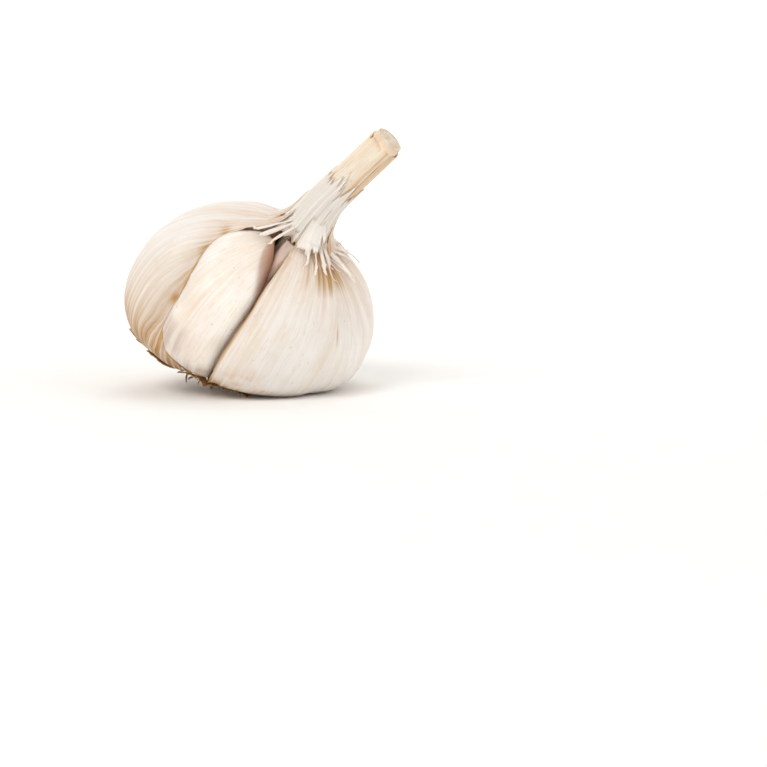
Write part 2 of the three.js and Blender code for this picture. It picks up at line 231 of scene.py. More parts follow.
class GarlicSkinSettings(bpy.types.PropertyGroup):
    thickness: length("Thickness", 0.22, "Thickness of the papery skin")
    offset: length("Looseness", 1.1, "Space between the cloves and the middle of the skin")
    wrinkle: length("Wrinkles", 0.28, "Depth of the broad wrinkles")
    pleat: length("Pleats", 0.95, "Depth of the pleats where the skin gathers at the neck")
    curl: length("Curl", 0.9, "How far a torn edge curls away from the bulb")
    fibre: length("Fibre spacing", 0.8, "Spacing of the fibres at the belly")
    paper: colour("Paper", "#f9f1ea", "Dry outer skin")
    streak: colour("Streaks", "#e2c9ac", "Yellowed streaks along the skin")
    pleats: colour("Pleat shade", "#e0bba0", "Pinkish tan in the pleats near the neck")
    # Torn edge and base stain also colour the painted shade in the hollow at the neck
    torn: colour("Torn edge", "#c2904f", "Browned edge where the skin is torn")
    earth: colour("Base stain", "#8a6238", "Brown of the skin near the basal plate")


class GarlicStalkSettings(bpy.types.PropertyGroup):
    radius: length("Stalk radius", 3.85, "Radius of the dried stalk")
    reach: length("Stalk length", 73.5, "Length of the stalk above the base of the bulb")
    ridge: length("Ridges", 0.16, "Depth of the ridges along the stalk")
    sheath: colour("Leaf sheath", "#fff8ef", "Torn leaf sheath round the neck")
    straw: colour("Straw", "#f9ead6", "Dry stalk")
    # Also the colour of the painted shade down one side of the stalk and its wrap
    shade: colour("Straw shade", "#dfb78e", "Tan between the fibres of the stalk")
    pith: colour("Pith", "#f6ead8", "Cut end of the stalk")


class GarlicRootSettings(bpy.types.PropertyGroup):
    plate_radius: length("Plate radius", 10.5, "Radius of the basal plate")
    count: IntProperty(name="Roots", description="Number of dried roots", min=1, max=400, default=150)
    thickness: length("Root radius", 0.42, "Radius of a root where it leaves the plate")
    reach: length("Root length", 5.6, "About the length of the longest roots")
    bark: colour("Root", "#bb9c72", "Dried root")
    # Soil brown, also used as painted shade at the foot of each root
    dark: colour("Root shade", "#6f563a", "Soil brown between the roots")


class GarlicStageSettings(bpy.types.PropertyGroup):
    floor_radius: FloatProperty(
        name="Floor radius", description="Radius of the flat floor", unit="LENGTH", min=0.1, default=1.0
    )
    floor: colour("Floor", "#fbfaf8", "Pale matt floor")
    key: lamp_power("Key light", 6.4, "Power of the soft light from the upper left")
    fill: lamp_power("Fill light", 2.1, "Power of the wide light from the right")
    sky: FloatProperty(name="Surrounding light", description="Strength of the even white light", default=0.5)


class GarlicSettings(bpy.types.PropertyGroup):
    clove: PointerProperty(type=GarlicCloveSettings, name="Cloves", description="Cloves and the inner clove")
    skin: PointerProperty(type=GarlicSkinSettings, name="Skin", description="Outer skin and the ragged bands")
    stalk: PointerProperty(type=GarlicStalkSettings, name="Stalk", description="Stalk, sheaths and strips")
    root: PointerProperty(type=GarlicRootSettings, name="Roots", description="Basal plate and roots")
    stage: PointerProperty(type=GarlicStageSettings, name="Stage", description="Floor and lights")


def smooth(x):
    """Smooth step from 0 to 1."""
    x = np.clip(x, 0.0, 1.0)
    return x * x * (3 - 2 * x)


def ramp(value, start, run):
    """Smooth step from 0 at start to 1 at start + run; a run below 0 steps the other way."""
    return smooth((value - start) / run)


def bell(value, centre, width, power=2):
    """Soft bump, 1 at its centre."""
    return np.exp(-(((value - centre) / width) ** power))


def lerp(a, b, share):
    """Value a share of the way from a to b."""
    return a + (b - a) * share


def boxed(wave, power):
    """A sine or cosine made fuller by a power below 1, so that a round section gets corners."""
    return np.sign(wave) * np.abs(wave) ** power


def turned_from(angle, middle):
    """Signed turn from a middle to an angle, from -180 to 180 degrees."""
    return np.mod(angle - middle + 180, 360) - 180


def grid(rows, columns):
    """Shares from 0 to 1 up the rows of a sheet, and across its columns."""
    return np.linspace(0, 1, rows)[:, None], np.linspace(0, 1, columns)[None, :]


def all_round(count):
    """Angles of that many points all round the bulb, in one row."""
    return np.linspace(0, 360, count + 1)[None, :-1]


def ripple(points, pitch, seed):
    """Seeded smooth noise from -1 to 1 at points, with waves of about that pitch."""
    # Large odd numbers scatter neighbouring cells to unlike values, kept to 32 bits
    axes = np.array([374761393, 668265263, 2246822519], np.uint64)
    stir = np.uint64(1274126177)
    start = np.uint64(seed * 97531)
    mask = np.uint64(0xFFFFFFFF)
    spots = np.asarray(points, float) / pitch
    cell = np.floor(spots).astype(np.int64)
    part = smooth(spots - cell)
    total = np.zeros(spots.shape[:-1])
    for corner in itertools.product((0, 1), repeat=3):
        key = (cell + np.array(corner)).astype(np.uint64)
        mixed = (key[..., 0] * axes[0] + key[..., 1] * axes[1] + key[..., 2] * axes[2] + start) & mask
        mixed = ((mixed ^ (mixed >> np.uint64(13))) * stir) & mask
        value = (mixed ^ (mixed >> np.uint64(16))) / float(mask)
        weight = np.prod(np.where(np.array(corner) == 1, part, 1 - part), axis=-1)
        total += weight * value
    return 2 * total - 1


def place(angle, radius, height):
    """Point at a cylindrical place in the upright bulb, with its neck leaning and its base sloping."""
    turn = np.radians(angle)
    share = np.clip((height - LEAN_START) / LEAN_RUN, 0.0, 1.2)
    x = radius * np.cos(turn)
    y = radius * np.sin(turn)
    slope = BASE_SLOPE * (1 - smooth(height / BASE_SLOPE_END))
    return np.stack(np.broadcast_arrays(x, y + NECK_LEAN * share**1.5, height + slope * y), -1)


def grain_of(angle, along, radius=GRAIN_RADIUS):
    """Coordinates that run with the fibres: two round the bulb, one up it, in millimetres."""
    turn = np.radians(angle)
    return np.stack(np.broadcast_arrays(radius * np.cos(turn), radius * np.sin(turn), along), -1)


def on_line(distance):
    """Points on a straight line, for noise that changes one way only."""
    return np.stack([distance, 0 * distance, 0 * distance], -1)


def above_belly(along):
    """Share of the way from the belly to the tip."""
    return np.clip((along - BELLY_SHARE) / (1 - BELLY_SHARE), 0, 1)


def clove_profile(clove, along, tip_height):
    """Height and share of the full depth along a clove, from its base at 0 to its tip at 1."""
    tip = clove["tall"] * tip_height
    tip_power = 1.05 if clove.get("outer") else 1.25
    low = np.cos(0.5 * np.pi * np.clip(along / BELLY_SHARE, 0, 1))
    low_height = BELLY_HEIGHT - (BELLY_HEIGHT - clove["base"]) * np.maximum(low, 0) ** 0.8
    low_depth = (1 - 0.93 * low**2) ** 0.46
    turn = 0.5 * np.pi * above_belly(along)
    height = BELLY_HEIGHT + (tip - BELLY_HEIGHT) * np.sin(turn) ** 0.95
    depth = np.maximum(np.cos(turn), 0) ** tip_power
    under = along < BELLY_SHARE
    return np.where(under, low_height, height), np.where(under, low_depth, depth)


def wedge(clove, along):
    """Centre and half width of a clove's wedge, in degrees."""
    slant = ramp(along, 0.45, 0.4)
    late = ramp(along, 0.6, 0.36)
    start = clove["start"] + clove.get("start_slant", 0) * slant
    end = clove["end"] + clove.get("end_slant", 0) * (late if clove.get("outer") else slant)
    return (start + end) / 2, (end - start) / 2


def wedge_reach(half, along):
    """Degrees from a clove's centre to its side, clear of the seam and narrowed towards the tip."""
    return (half - SEAM_INSET) * (1 - TIP_NARROWING * above_belly(along) ** 4)


def inner_whorl(height):
    """Radius that the inner clove fills, at a height."""
    return lerp(INNER_CLOVE_RADIUS, OUTER_TIP_RADIUS, ramp(height, 18, 20))


def face_radius(clove, height, depth, share, bulb_radius):
    """Radius in a clove from its face towards the stalk, at share 0, to its outer face, at share 1."""
    inner = PIECE_GAP + inner_whorl(height) if clove.get("outer") else CORE_RADIUS
    return inner + (bulb_radius * clove["fat"] - inner) * depth * share


def weathered(clove, angle, radius, height, across, depth, size):
    """Radius of a clove's outer face once it falls off towards its seams and has its soft dents."""
    radius = radius - size["crown"] * depth * np.abs(across) ** 3
    dents = ripple(place(angle, radius, height), DENT_PITCH, clove["dents"])
    return radius + depth * size["dent"] * dents


def clove_face(clove, angle, along, lift, size):
    """Point on the outer face of one clove, lifted outwards by a little."""
    height, depth = clove_profile(clove, along, size["tip"])
    middle, half = wedge(clove, along)
    across = np.clip((angle - middle) / wedge_reach(half, along), -0.98, 0.98)
    out = (1 - across**4) ** 0.25
    radius = face_radius(clove, height, depth, 0.5 + 0.5 * out, size["radius"])
    radius = weathered(clove, angle, radius, height, across, depth, size)
    return place(angle, radius + lift, height)


def drape(angle, along, size):
    """Point of a skin drawn over the cloves and across their seams."""
    valley = lerp(0.04, 0.34, ramp(along, 0.55, 0.35))
    radius = 0.0
    height = 0.0
    weight = 0.0
    for clove in CLOVES.values():
        middle, half = wedge(clove, along)
        off = np.abs(turned_from(angle, middle)) / half
        pull = ramp(off, 1.35, -0.7)
        level, depth = clove_profile(clove, along, size["tip"])
        share = 1 - valley * np.minimum(off, 1) ** 4
        radius = radius + pull * face_radius(clove, level, depth, share, size["radius"])
        height = height + pull * level
        weight = weight + pull
    return place(angle, radius / weight, height / weight)


def drape_over(angle, along, offset, size):
    """The same point moved outwards, square to the surface."""
    up_step = 0.004
    side_step = 0.5
    up = drape(angle, along + up_step, size) - drape(angle, along - up_step, size)
    side = drape(angle + side_step, along, size) - drape(angle - side_step, along, size)
    out = np.cross(side, up)
    out /= np.linalg.norm(out, axis=-1, keepdims=True)
    return drape(angle, along, size) + out * np.asarray(offset)[..., None]


def stalk_point(turn, radius, along):
    """Point on the stalk: straight inside the bulb, bent over beyond the neck."""
    steps = np.linspace(STALK_BEND_START, STALK_REACH_MOST, 400)
    tilt = np.radians(STALK_LEAN + STALK_BEND * ramp(steps, STALK_BEND_START, STALK_BEND_RUN))
    run = np.gradient(steps)
    start = place(0.0, 0.0, np.array(STALK_BEND_START))
    ys = start[1] + np.cumsum(run * np.sin(tilt)) - run[0] * math.sin(tilt[0])
    zs = start[2] + np.cumsum(run * np.cos(tilt)) - run[0] * math.cos(tilt[0])
    along = np.asarray(along, float)
    free = along > STALK_BEND_START
    inside = place(0.0, 0.0, np.minimum(along, STALK_BEND_START))
    centre_y = np.where(free, np.interp(along, steps, ys), inside[..., 1])
    centre_z = np.where(free, np.interp(along, steps, zs), inside[..., 2])
    lean = np.where(free, np.interp(along, steps, tilt), 0.0)
    x = radius * np.cos(np.radians(turn))
    y = radius * np.sin(np.radians(turn))
    return np.stack(np.broadcast_arrays(x, centre_y + y * np.cos(lean), centre_z - y * np.sin(lean)), -1)


def bulb_matrix():
    """Turn and move from the upright bulb to its resting pose, with its front to the camera."""
    axis = Vector(BULB_AXIS).normalized()
    tilt = math.radians(VIEW_ELEVATION)
    front = Vector((0, -math.cos(tilt), math.sin(tilt)))
    front = (front - axis * front.dot(axis)).normalized()
    turned = Matrix((front, axis.cross(front), axis)).transposed()
    return Matrix.Translation(BULB_FOOT) @ turned.to_4x4()


POSE = np.array(bulb_matrix())


def rest(points):
    """Points of the upright bulb in the resting pose, in metres, pressed flat where they meet the floor."""
    flat = np.asarray(points, float).reshape(-1, 3)
    turned = flat @ POSE[:3, :3].T + POSE[:3, 3]
    turned[:, 2] = np.maximum(turned[:, 2], FLOOR_CLEARANCE)
    return turned * MM


def add_piece(name, points, faces, marks, material, nodes=()):
    """Makes one mesh piece, carries its marks as point attributes, and lets it ride on the bulb."""
    mesh = bpy.data.meshes.new(name)
    mesh.from_pydata(rest(points).tolist(), [], faces)
    mesh.update()
    for mark, values in marks.items():
        flat = np.asarray(values, np.float32)
        if flat.ndim == 2:
            layer = mesh.attributes.new(mark, "FLOAT_VECTOR", "POINT")
            layer.data.foreach_set("vector", flat.ravel())
        else:
            layer = mesh.attributes.new(mark, "FLOAT", "POINT")
            layer.data.foreach_set("value", flat)
    mesh.shade_smooth()
    mesh.materials.append(material)
    piece = bpy.data.objects.new(name, mesh)
    bpy.context.scene.collection.objects.link(piece)
    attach(piece, "root")
    if nodes:
        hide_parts(*nodes)


def spread(marks, shape):
    """The marks spread over a grid of points; grain has three numbers a point, the others one."""
    full = {}
    for mark, values in marks.items():
        full[mark] = np.broadcast_to(values, (*shape, 3) if mark == "grain" else shape)
    return full


def sheet_faces(rows, columns, wrapped):
    """Faces of a closed thin sheet with an outer and an inner layer of rows by columns points."""
    layer = rows * columns
    last = columns if wrapped else columns - 1
    faces = []
    for i in range(rows - 1):
        for j in range(last):
            a = i * columns + j
            b = i * columns + (j + 1) % columns
            c = b + columns
            d = a + columns
            faces.append((a, b, c, d))
            faces.append((layer + a, layer + d, layer + c, layer + b))
    for j in range(last):
        a = j
        b = (j + 1) % columns
        faces.append((layer + a, layer + b, b, a))
        top = (rows - 1) * columns
        faces.append((layer + top + b, layer + top + a, top + a, top + b))
    if not wrapped:
        for i in range(rows - 1):
            a = i * columns
            faces.append((a, a + columns, layer + a + columns, layer + a))
            a = i * columns + columns - 1
            faces.append((layer + a, layer + a + columns, a + columns, a))
    return faces


def add_sheet(name, middle, thickness, marks, material, nodes=(), wrapped=False):
    """Makes a thin closed sheet round a grid of middle points."""
    rows, columns = middle.shape[:2]
    up = np.gradient(middle, axis=0)
    if wrapped:
        along = np.roll(middle, -1, axis=1) - np.roll(middle, 1, axis=1)
    else:
        along = np.gradient(middle, axis=1)
    out = np.cross(along, up)
    out /= np.maximum(np.linalg.norm(out, axis=-1, keepdims=True), 1e-9)
    half = 0.5 * np.broadcast_to(np.asarray(thickness, float), (rows, columns))[..., None]
    points = np.concatenate([(middle + out * half).reshape(-1, 3), (middle - out * half).reshape(-1, 3)])
    doubled = {}
    for mark, values in spread(marks, (rows, columns)).items():
        flat = values.reshape(-1, *values.shape[2:])
        doubled[mark] = np.concatenate([flat, flat])
    add_piece(name, points, sheet_faces(rows, columns, wrapped), doubled, material, nodes)


def loft_faces(rings, count, start=0):
    """Faces of a closed body through rings; the two end centres follow the rings' points."""
    faces = []
    for i in range(rings - 1):
        for j in range(count):
            a = start + i * count + j
            b = start + i * count + (j + 1) % count
            faces.append((a, b, b + count, a + count))
    foot = start + rings * count
    top = start + (rings - 1) * count
    for j in range(count):
        k = (j + 1) % count
        faces.append((start + k, start + j, foot))
        faces.append((top + j, top + k, foot + 1))
    return faces


def add_loft(name, rings, marks, material, nodes=()):
    """Makes a closed body through a stack of rings."""
    points = np.concatenate([rings.reshape(-1, 3), [rings[0].mean(0)], [rings[-1].mean(0)]])
    full = {}
    for mark, values in spread(marks, rings.shape[:2]).items():
        ends = np.stack([values[0].mean(0), values[-1].mean(0)])
        full[mark] = np.concatenate([values.reshape(-1, *values.shape[2:]), ends])
    add_piece(name, points, loft_faces(*rings.shape[:2]), full, material, nodes)


def node(tree, kind, inputs=None, output=0, **settings):
    """Adds a node with its settings and links, and returns one of its outputs."""
    made = tree.nodes.new(kind)
    for name, value in settings.items():
        setattr(made, name, value)
    for name, value in (inputs or {}).items():
        socket = made.inputs[name]
        if isinstance(value, bpy.types.NodeSocket):
            tree.links.new(value, socket)
        else:
            socket.default_value = value
    return made.outputs[output] if len(made.outputs) else made


def new_material(name):
    """A material with an empty node tree."""
    material = bpy.data.materials.new(name)
    material.use_nodes = True
    material.node_tree.nodes.clear()
    return material


def rgba(value):
    """A colour with full opacity."""
    return (*value[:3], 1.0)


def fibrous(name, look, fibre, tints, surface):
    """Material of a dry plant skin: fibres that run with the grain, blotches, and tints carried by the mesh.

    look holds the base and streak colours, and fibre the spacing of the fibres in metres. tints holds
    the mark of the mesh, colour and strength of each tint, and whether the fibres break it up. surface
    holds the roughness, the shares of the textures, the bump depth in millimetres and the glow."""
    material = new_material(name)
    tree = material.node_tree
    grain = node(tree, "ShaderNodeAttribute", attribute_name="grain", output="Vector")
    pitch = fibre / MM
    noise = {}
    for layer, across, along, settings in [
        ("fine", 1.0, 0.045, {"Detail": 3.0, "Roughness": 0.55}),
        ("band", 0.22, 0.02, {"Detail": 4.0, "Roughness": 0.6, "Distortion": 0.25}),
        ("stripe", 0.85, 0.02, {"Detail": 2.0}),
    ]:
        stretch = (across / pitch, across / pitch, along / pitch)
        spot = node(tree, "ShaderNodeVectorMath", {0: grain, 1: stretch}, operation="MULTIPLY")
        noise[layer] = node(tree, "ShaderNodeTexNoise", {"Vector": spot, "Scale": 1.0, **settings})
    blots = {"Vector": grain, "Scale": 0.11, "Detail": 5.0, "Roughness": 0.6}
    noise["blot"] = node(tree, "ShaderNodeTexNoise", blots)
    noise["speck"] = node(tree, "ShaderNodeTexVoronoi", {"Vector": grain, "Scale": 0.32}, feature="F1")
    away = node(tree, "ShaderNodeMath", {0: noise["fine"], 1: 0.5}, operation="SUBTRACT")
    noise["vein"] = node(tree, "ShaderNodeMath", {0: away}, operation="ABSOLUTE")
    share = {}
    for layer, low, high, least, most in [
        ("fine", 0.35, 0.75, 0.0, 1.0),
        ("band", 0.42, 0.72, 0.0, 1.0),
        ("stripe", 0.36, 0.6, 0.35, 1.4),
        ("blot", 0.45, 0.75, 0.0, surface["blotch"]),
        ("speck", 0.1, 0.04, 0.0, surface["speck"]),
        ("vein", 0.0, 0.022, surface["vein"], 0.0),
    ]:
        span = {"Value": noise[layer], "From Min": low, "From Max": high, "To Min": least, "To Max": most}
        share[layer] = node(tree, "ShaderNodeMapRange", span)
    streaks = node(tree, "ShaderNodeMath", {0: share["band"], 1: share["fine"]}, operation="MULTIPLY")
    streaks = node(
        tree, "ShaderNodeMath", {0: streaks, 1: surface["streak"]}, operation="MULTIPLY", use_clamp=True
    )
    layers = [(streaks, look[1]), (share["vein"], look[1]), (share["blot"], look[1])]
    for mark, tint, strength, broken_up in tints:
        amount = node(tree, "ShaderNodeAttribute", attribute_name=mark, output="Fac")
        if broken_up:
            amount = node(tree, "ShaderNodeMath", {0: amount, 1: share["stripe"]}, operation="MULTIPLY")
        amount = node(tree, "ShaderNodeMath", {0: amount, 1: strength}, operation="MULTIPLY", use_clamp=True)
        layers.append((amount, tint))
    layers.append((share["speck"], surface["speck_tint"]))
    mixed = rgba(look[0])
    for amount, tint in layers:
        mix = {0: amount, 6: mixed, 7: rgba(tint)}
        mixed = node(tree, "ShaderNodeMix", mix, output=2, data_type="RGBA")
    height = node(
        tree, "ShaderNodeMath", {0: noise["band"], 1: 1.6, 2: noise["fine"]}, operation="MULTIPLY_ADD"
    )
    relief = {"Height": height, "Strength": 1.0, "Distance": surface["bump"] * MM}
    normal = node(tree, "ShaderNodeBump", relief)
    gloss = node(
        tree,
        "ShaderNodeMapRange",
        {"Value": noise["band"], "To Min": surface["rough"] - 0.08, "To Max": surface["rough"] + 0.12},
    )
    shader = node(
        tree,
        "ShaderNodeBsdfPrincipled",
        {
            "Base Color": mixed,
            "Roughness": gloss,
            "Normal": normal,
            "IOR": 1.45,
            "Subsurface Weight": surface["glow"],
            "Subsurface Radius": (1.0, 0.7, 0.5),
            "Subsurface Scale": surface.get("depth", 1.5) * MM,
            "Coat Weight": surface.get("coat", 0.0),
            "Coat Roughness": 0.3,
        },
    )
    node(tree, "ShaderNodeOutputMaterial", {"Surface": shader})
    return material


def papery_skin(skin):
    # Dried garlic skin, parchment-thin and ribbed by its veins: satin white, with yellow streaks
    # along the veins, browned where it is torn or has touched soil, with painted shade in its pleats and in
    # the hollow at the neck
    return fibrous(
        "garlic_skin_papery",
        (skin.paper, skin.streak),
        skin.fibre,
        [
            # neck: painted shade in the pleat valleys, with a mottled tan patch
            ("neck", skin.pleats, 0.75, True),
            ("low", skin.torn, 1.0, True),
            ("stain_and_shade", skin.earth, 0.8, True),
            ("rim", skin.torn, 0.9, True),
        ],
        {
            "rough": 0.44,
            "vein": 0.5,
            "bump": 0.2,
            "glow": 0.2,
            "streak": 0.85,
            "blotch": 0.3,
            "speck": 0.25,
            "speck_tint": linear("#a98a6b"),
            "coat": 0.06,
        },
    )


def clove_skin(clove):
    # The clove's own tight skin, dried on: satin, thin enough for the cream flesh to glow through,
    # browned on the flanks that lie against the next clove, and darkened there and in the seams by painted
    # shade
    return fibrous(
        "garlic_clove_skin",
        (clove.cream, clove.streak),
        clove.fibre,
        [
            ("neck", clove.streak, 0.4, True),
            ("lower_grey_and_shade", clove.lower_grey_and_shade, 1.0, True),
            ("low", clove.base, 0.85, True),
            ("flank_brown_and_shade", clove.flank_brown_and_shade, 0.85, False),
        ],
        {
            "rough": 0.4,
            "vein": 0.5,
            "bump": 0.16,
            "glow": 0.5,
            "depth": 2.5,
            "streak": 0.7,
            "blotch": 0.4,
            "speck": 0.35,
            "speck_tint": linear("#9a7f60"),
            "coat": 0.12,
        },
    )


def inner_clove_skin(clove):
    # The skin of a clove that lay covered: never weathered, so pale pink and smooth, with deeper tan
    # veins, and thin enough for light to pass into the flesh
    return fibrous(
        "garlic_inner_clove_skin",
        (clove.blush, clove.blush_deep),
        clove.fibre,
        [("flank_brown_and_shade", clove.flank_brown_and_shade, 0.9, False)],
        {
            "rough": 0.42,
            "vein": 0.5,
            "bump": 0.09,
            "glow": 0.5,
            "streak": 0.9,
            "blotch": 0.4,
            "speck": 0.2,
            "speck_tint": linear("#8c5a40"),
            "coat": 0.08,
        },
    )


def dried_sheath(stalk, skin):
    # Dried leaf sheath round the neck, torn by hand: fibrous and matt, white to pinkish tan, the pinkish tan
    # painted as shade in the valleys of its pleats
    return fibrous(
        "garlic_leaf_sheath",
        (stalk.sheath, stalk.shade),
        skin.fibre * 0.8,
        [("neck", skin.pleats, 0.3, True), ("rim", skin.torn, 0.7, True)],
        {
            "rough": 0.58,
            "vein": 0.35,
            "bump": 0.12,
            "glow": 0.3,
            "streak": 0.36,
            "blotch": 0.12,
            "speck": 0.15,
            "speck_tint": linear("#8c6a45"),
        },
    )


def dried_stalk(stalk):
    # Dried flower stalk, cut across: straw-coloured and ribbed by its long fibres, satin where it was rubbed,
    # with painted shade down one side
    return fibrous(
        "garlic_stalk_straw",
        (stalk.straw, stalk.shade),
        0.7 * MM,
        [("fold", stalk.shade, 0.8, True), ("rim", stalk.shade, 0.6, True), ("pith", stalk.pith, 0.8, True)],
        {
            "rough": 0.5,
            "vein": 0.5,
            "bump": 0.1,
            "glow": 0.12,
            "streak": 0.7,
            "blotch": 0.35,
            "speck": 0.2,
            "speck_tint": linear("#8c6a45"),
            "coat": 0.05,
        },
    )


def dried_root(root):
    # Dried roots and basal plate, grown and then dried hard: woody and matt, brown, darker in the gaps where
    # the roots leave the plate, partly soil and partly painted shade
    return fibrous(
        "garlic_root_woody",
        (root.bark, root.dark),
        0.5 * MM,
        [("deep", root.dark, 0.9, True)],
        {
            "rough": 0.75,
            "vein": 0.5,
            "bump": 0.16,
            "glow": 0.05,
            "streak": 0.8,
            "blotch": 0.5,
            "speck": 0.4,
            "speck_tint": linear("#4f351f"),
        },
    )


def painted_board(stage):
    # Matt painted board, rolled smooth: an even white with no gloss
    material = new_material("painted_board_white")
    tree = material.node_tree
    paint = {"Base Color": rgba(stage.floor), "Roughness": 0.9, "IOR": 1.5}
    shader = node(tree, "ShaderNodeBsdfPrincipled", paint)
    node(tree, "ShaderNodeOutputMaterial", {"Surface": shader})
    return material


def bulb_size(settings):
    """Driving sizes of the bulb in millimetres."""
    clove = settings.clove
    return {
        "radius": clove.bulb_radius / MM,
        "tip": clove.tip_height / MM,
        "crown": clove.crown / MM,
        "dent": clove.dent / MM,
    }


class GARLIC_OT_cloves(bpy.types.Operator):
    """Builds the eight cloves round the stalk"""

    bl_idname = "garlic.cloves"
    bl_label = "Build Cloves"

    def execute(self, context):
        settings = context.scene.garlic
        material = clove_skin(settings.clove)
        size = bulb_size(settings)
        for number, name in enumerate(CLOVES):
            self.clove(number, name, size, material)
        return {"FINISHED"}

    def clove(self, number, name, size, material):
        """One clove: a rounded outer face, flat flanks, and a point at the neck."""
        clove = CLOVES[name]
        share = np.linspace(0, 1, CLOVE_RINGS)
        along = (0.985 * lerp(share, 0.5 - 0.5 * np.cos(np.pi * share), 0.5))[:, None]
        turn = (2 * np.pi * (np.arange(CLOVE_SIDES) + 0.5) / CLOVE_SIDES)[None, :]
        across = boxed(np.sin(turn), SOFT_CORNER)
        out = boxed(np.cos(turn), SOFT_CORNER)
        corner = clove.get("corner", SOFT_CORNER)
        side_across = np.where(across > 0, boxed(np.sin(turn), corner), across)
        side_out = np.where(across > 0, boxed(np.cos(turn), corner), out)
        height, depth = clove_profile(clove, along, size["tip"])
        middle, half = wedge(clove, along)
        angle = middle + wedge_reach(half, along) * side_across
        radius = face_radius(clove, height, depth, 0.5 + 0.5 * side_out, size["radius"])
        radius = weathered(clove, angle, radius, height, across, smooth(out) * depth, size)
        points = place(angle, radius, height)
        # Painted shade on the open side face of the bare clove beside the seam, and on the faces that turn
        # inwards
        seam_side_shade = 0.4 * (across > 0) * (1 - ramp(side_out, 0.55, 0.4))
        marks = {
            "grain": grain_of(angle, GRAIN_HEIGHT * along + 40 * number),
            "flank_brown_and_shade": np.maximum(1 - ramp(out, -0.35, 0.7), seam_side_shade),
            "neck": ramp(along, 0.75, 0.22),
            "low": 1 - ramp(along, 0.04, 0.2),
            # Greyer pink towards the clove's base, partly painted shade on its lower face
            "lower_grey_and_shade": (1 - ramp(along, 0.22, 0.45)) * smooth(0.7 + ripple(points, 6.0, 47)),
        }
        add_loft(name + "_skin", points, marks, material, [name])


class GARLIC_OT_inner_clove(bpy.types.Operator):
    """Builds the slim clove of the second whorl and the dried membrane beside it, seen in the open seam"""

    bl_idname = "garlic.inner_clove"
    bl_label = "Build Inner Clove"

    def execute(self, context):
        settings = context.scene.garlic
        material = inner_clove_skin(settings.clove)
        self.clove(material)
        self.membrane(bulb_size(settings), material)
        return {"FINISHED"}

    def clove(self, material):
        """The slim clove, a little proud where the seam opens."""
        share = (0.5 - 0.5 * np.cos(np.linspace(0, 0.985 * np.pi, 64)))[:, None]
        height = lerp(1.6, 39.6, share)
        outer = inner_whorl(height) - PIECE_GAP
        half = 32 * (1 - 0.4 * share**2)
        turn = (2 * np.pi * (np.arange(64) + 0.5) / 64)[None, :]
        angle = 2 + half * boxed(np.sin(turn), 0.8)
        radius = lerp(CORE_RADIUS, outer, 0.5 + 0.5 * np.cos(turn))
        bulge = 2.3 * bell(angle, -1, 10) * ramp(height, 20, 9) * ramp(height, 39.2, -4)
        dents = 0.2 * ripple(place(angle, radius, height), 5.0, 31)
        radius = radius + dents + bulge * smooth(np.cos(turn) + 0.5)
        marks = {
            "grain": grain_of(angle * 2.4, 40 * share),
            # Painted shade on the faces that turn in towards the stalk
            "flank_brown_and_shade": 1 - ramp(np.cos(turn), -0.1, 0.8),
        }
        points = place(angle, radius, height)
        add_loft("inner_clove_skin", points, marks, material, ["inner_clove"])

    def membrane(self, size, material):
        """The dried membrane left between the two outer cloves, low in their seam."""
        up, v = grid(130, 22)
        top = 0.83 + 0.03 * ripple(grain_of(90 * v, 0.0), 6.0, 35)
        along = lerp(0.09, top, up)
        middle, half = wedge(CLOVES["clove_2"], along)
        angle = lerp(middle + half - 3.0, 366.5, v)
        spots = grain_of(8 * angle, 60 * along)
        depth = 1.7 + 5.2 * ramp(along, 0.46, 0.32) + 0.35 * ripple(spots, 5.0, 37)
        marks = {
            "grain": grain_of(angle * 2.4, 60 * along),
            # Brown deep in the seam, partly painted shade
            "flank_brown_and_shade": 0.45 + 0.3 * ripple(spots, 4.0, 39),
        }
        sheet = drape_over(angle, along, -depth, size)
        add_sheet("seam_membrane", sheet, 0.14, marks, material)


def gathered(angle, seed):
    """Sharp irregular pleats round the bulb, from about -0.5 to 0.8."""
    spots = grain_of(angle, 0.0)
    wide = 1 - np.abs(ripple(spots, 5.6, seed))
    slim = 1 - np.abs(ripple(spots, 2.3, seed + 1))
    return 0.75 * wide**2 + 0.45 * slim**2 - 0.55


def catmull(controls, share):
    """Smooth curve through a stack of control points, at shares from 0 to 1 of each column."""
    last = len(controls) - 1
    place_on = np.clip(share, 0, 1) * last
    cell = np.minimum(place_on.astype(int), last - 1)
    t = (place_on - cell)[..., None]
    columns = np.broadcast_to(np.arange(controls.shape[1]), cell.shape)
    a = controls[np.maximum(cell - 1, 0), columns]
    b = controls[cell, columns]
    c = controls[cell + 1, columns]
    d = controls[np.minimum(cell + 2, last), columns]
    return 0.5 * (2 * b + (c - a) * t + (2 * a - 5 * b + 4 * c - d) * t**2 + (3 * b - a - 3 * c + d) * t**3)


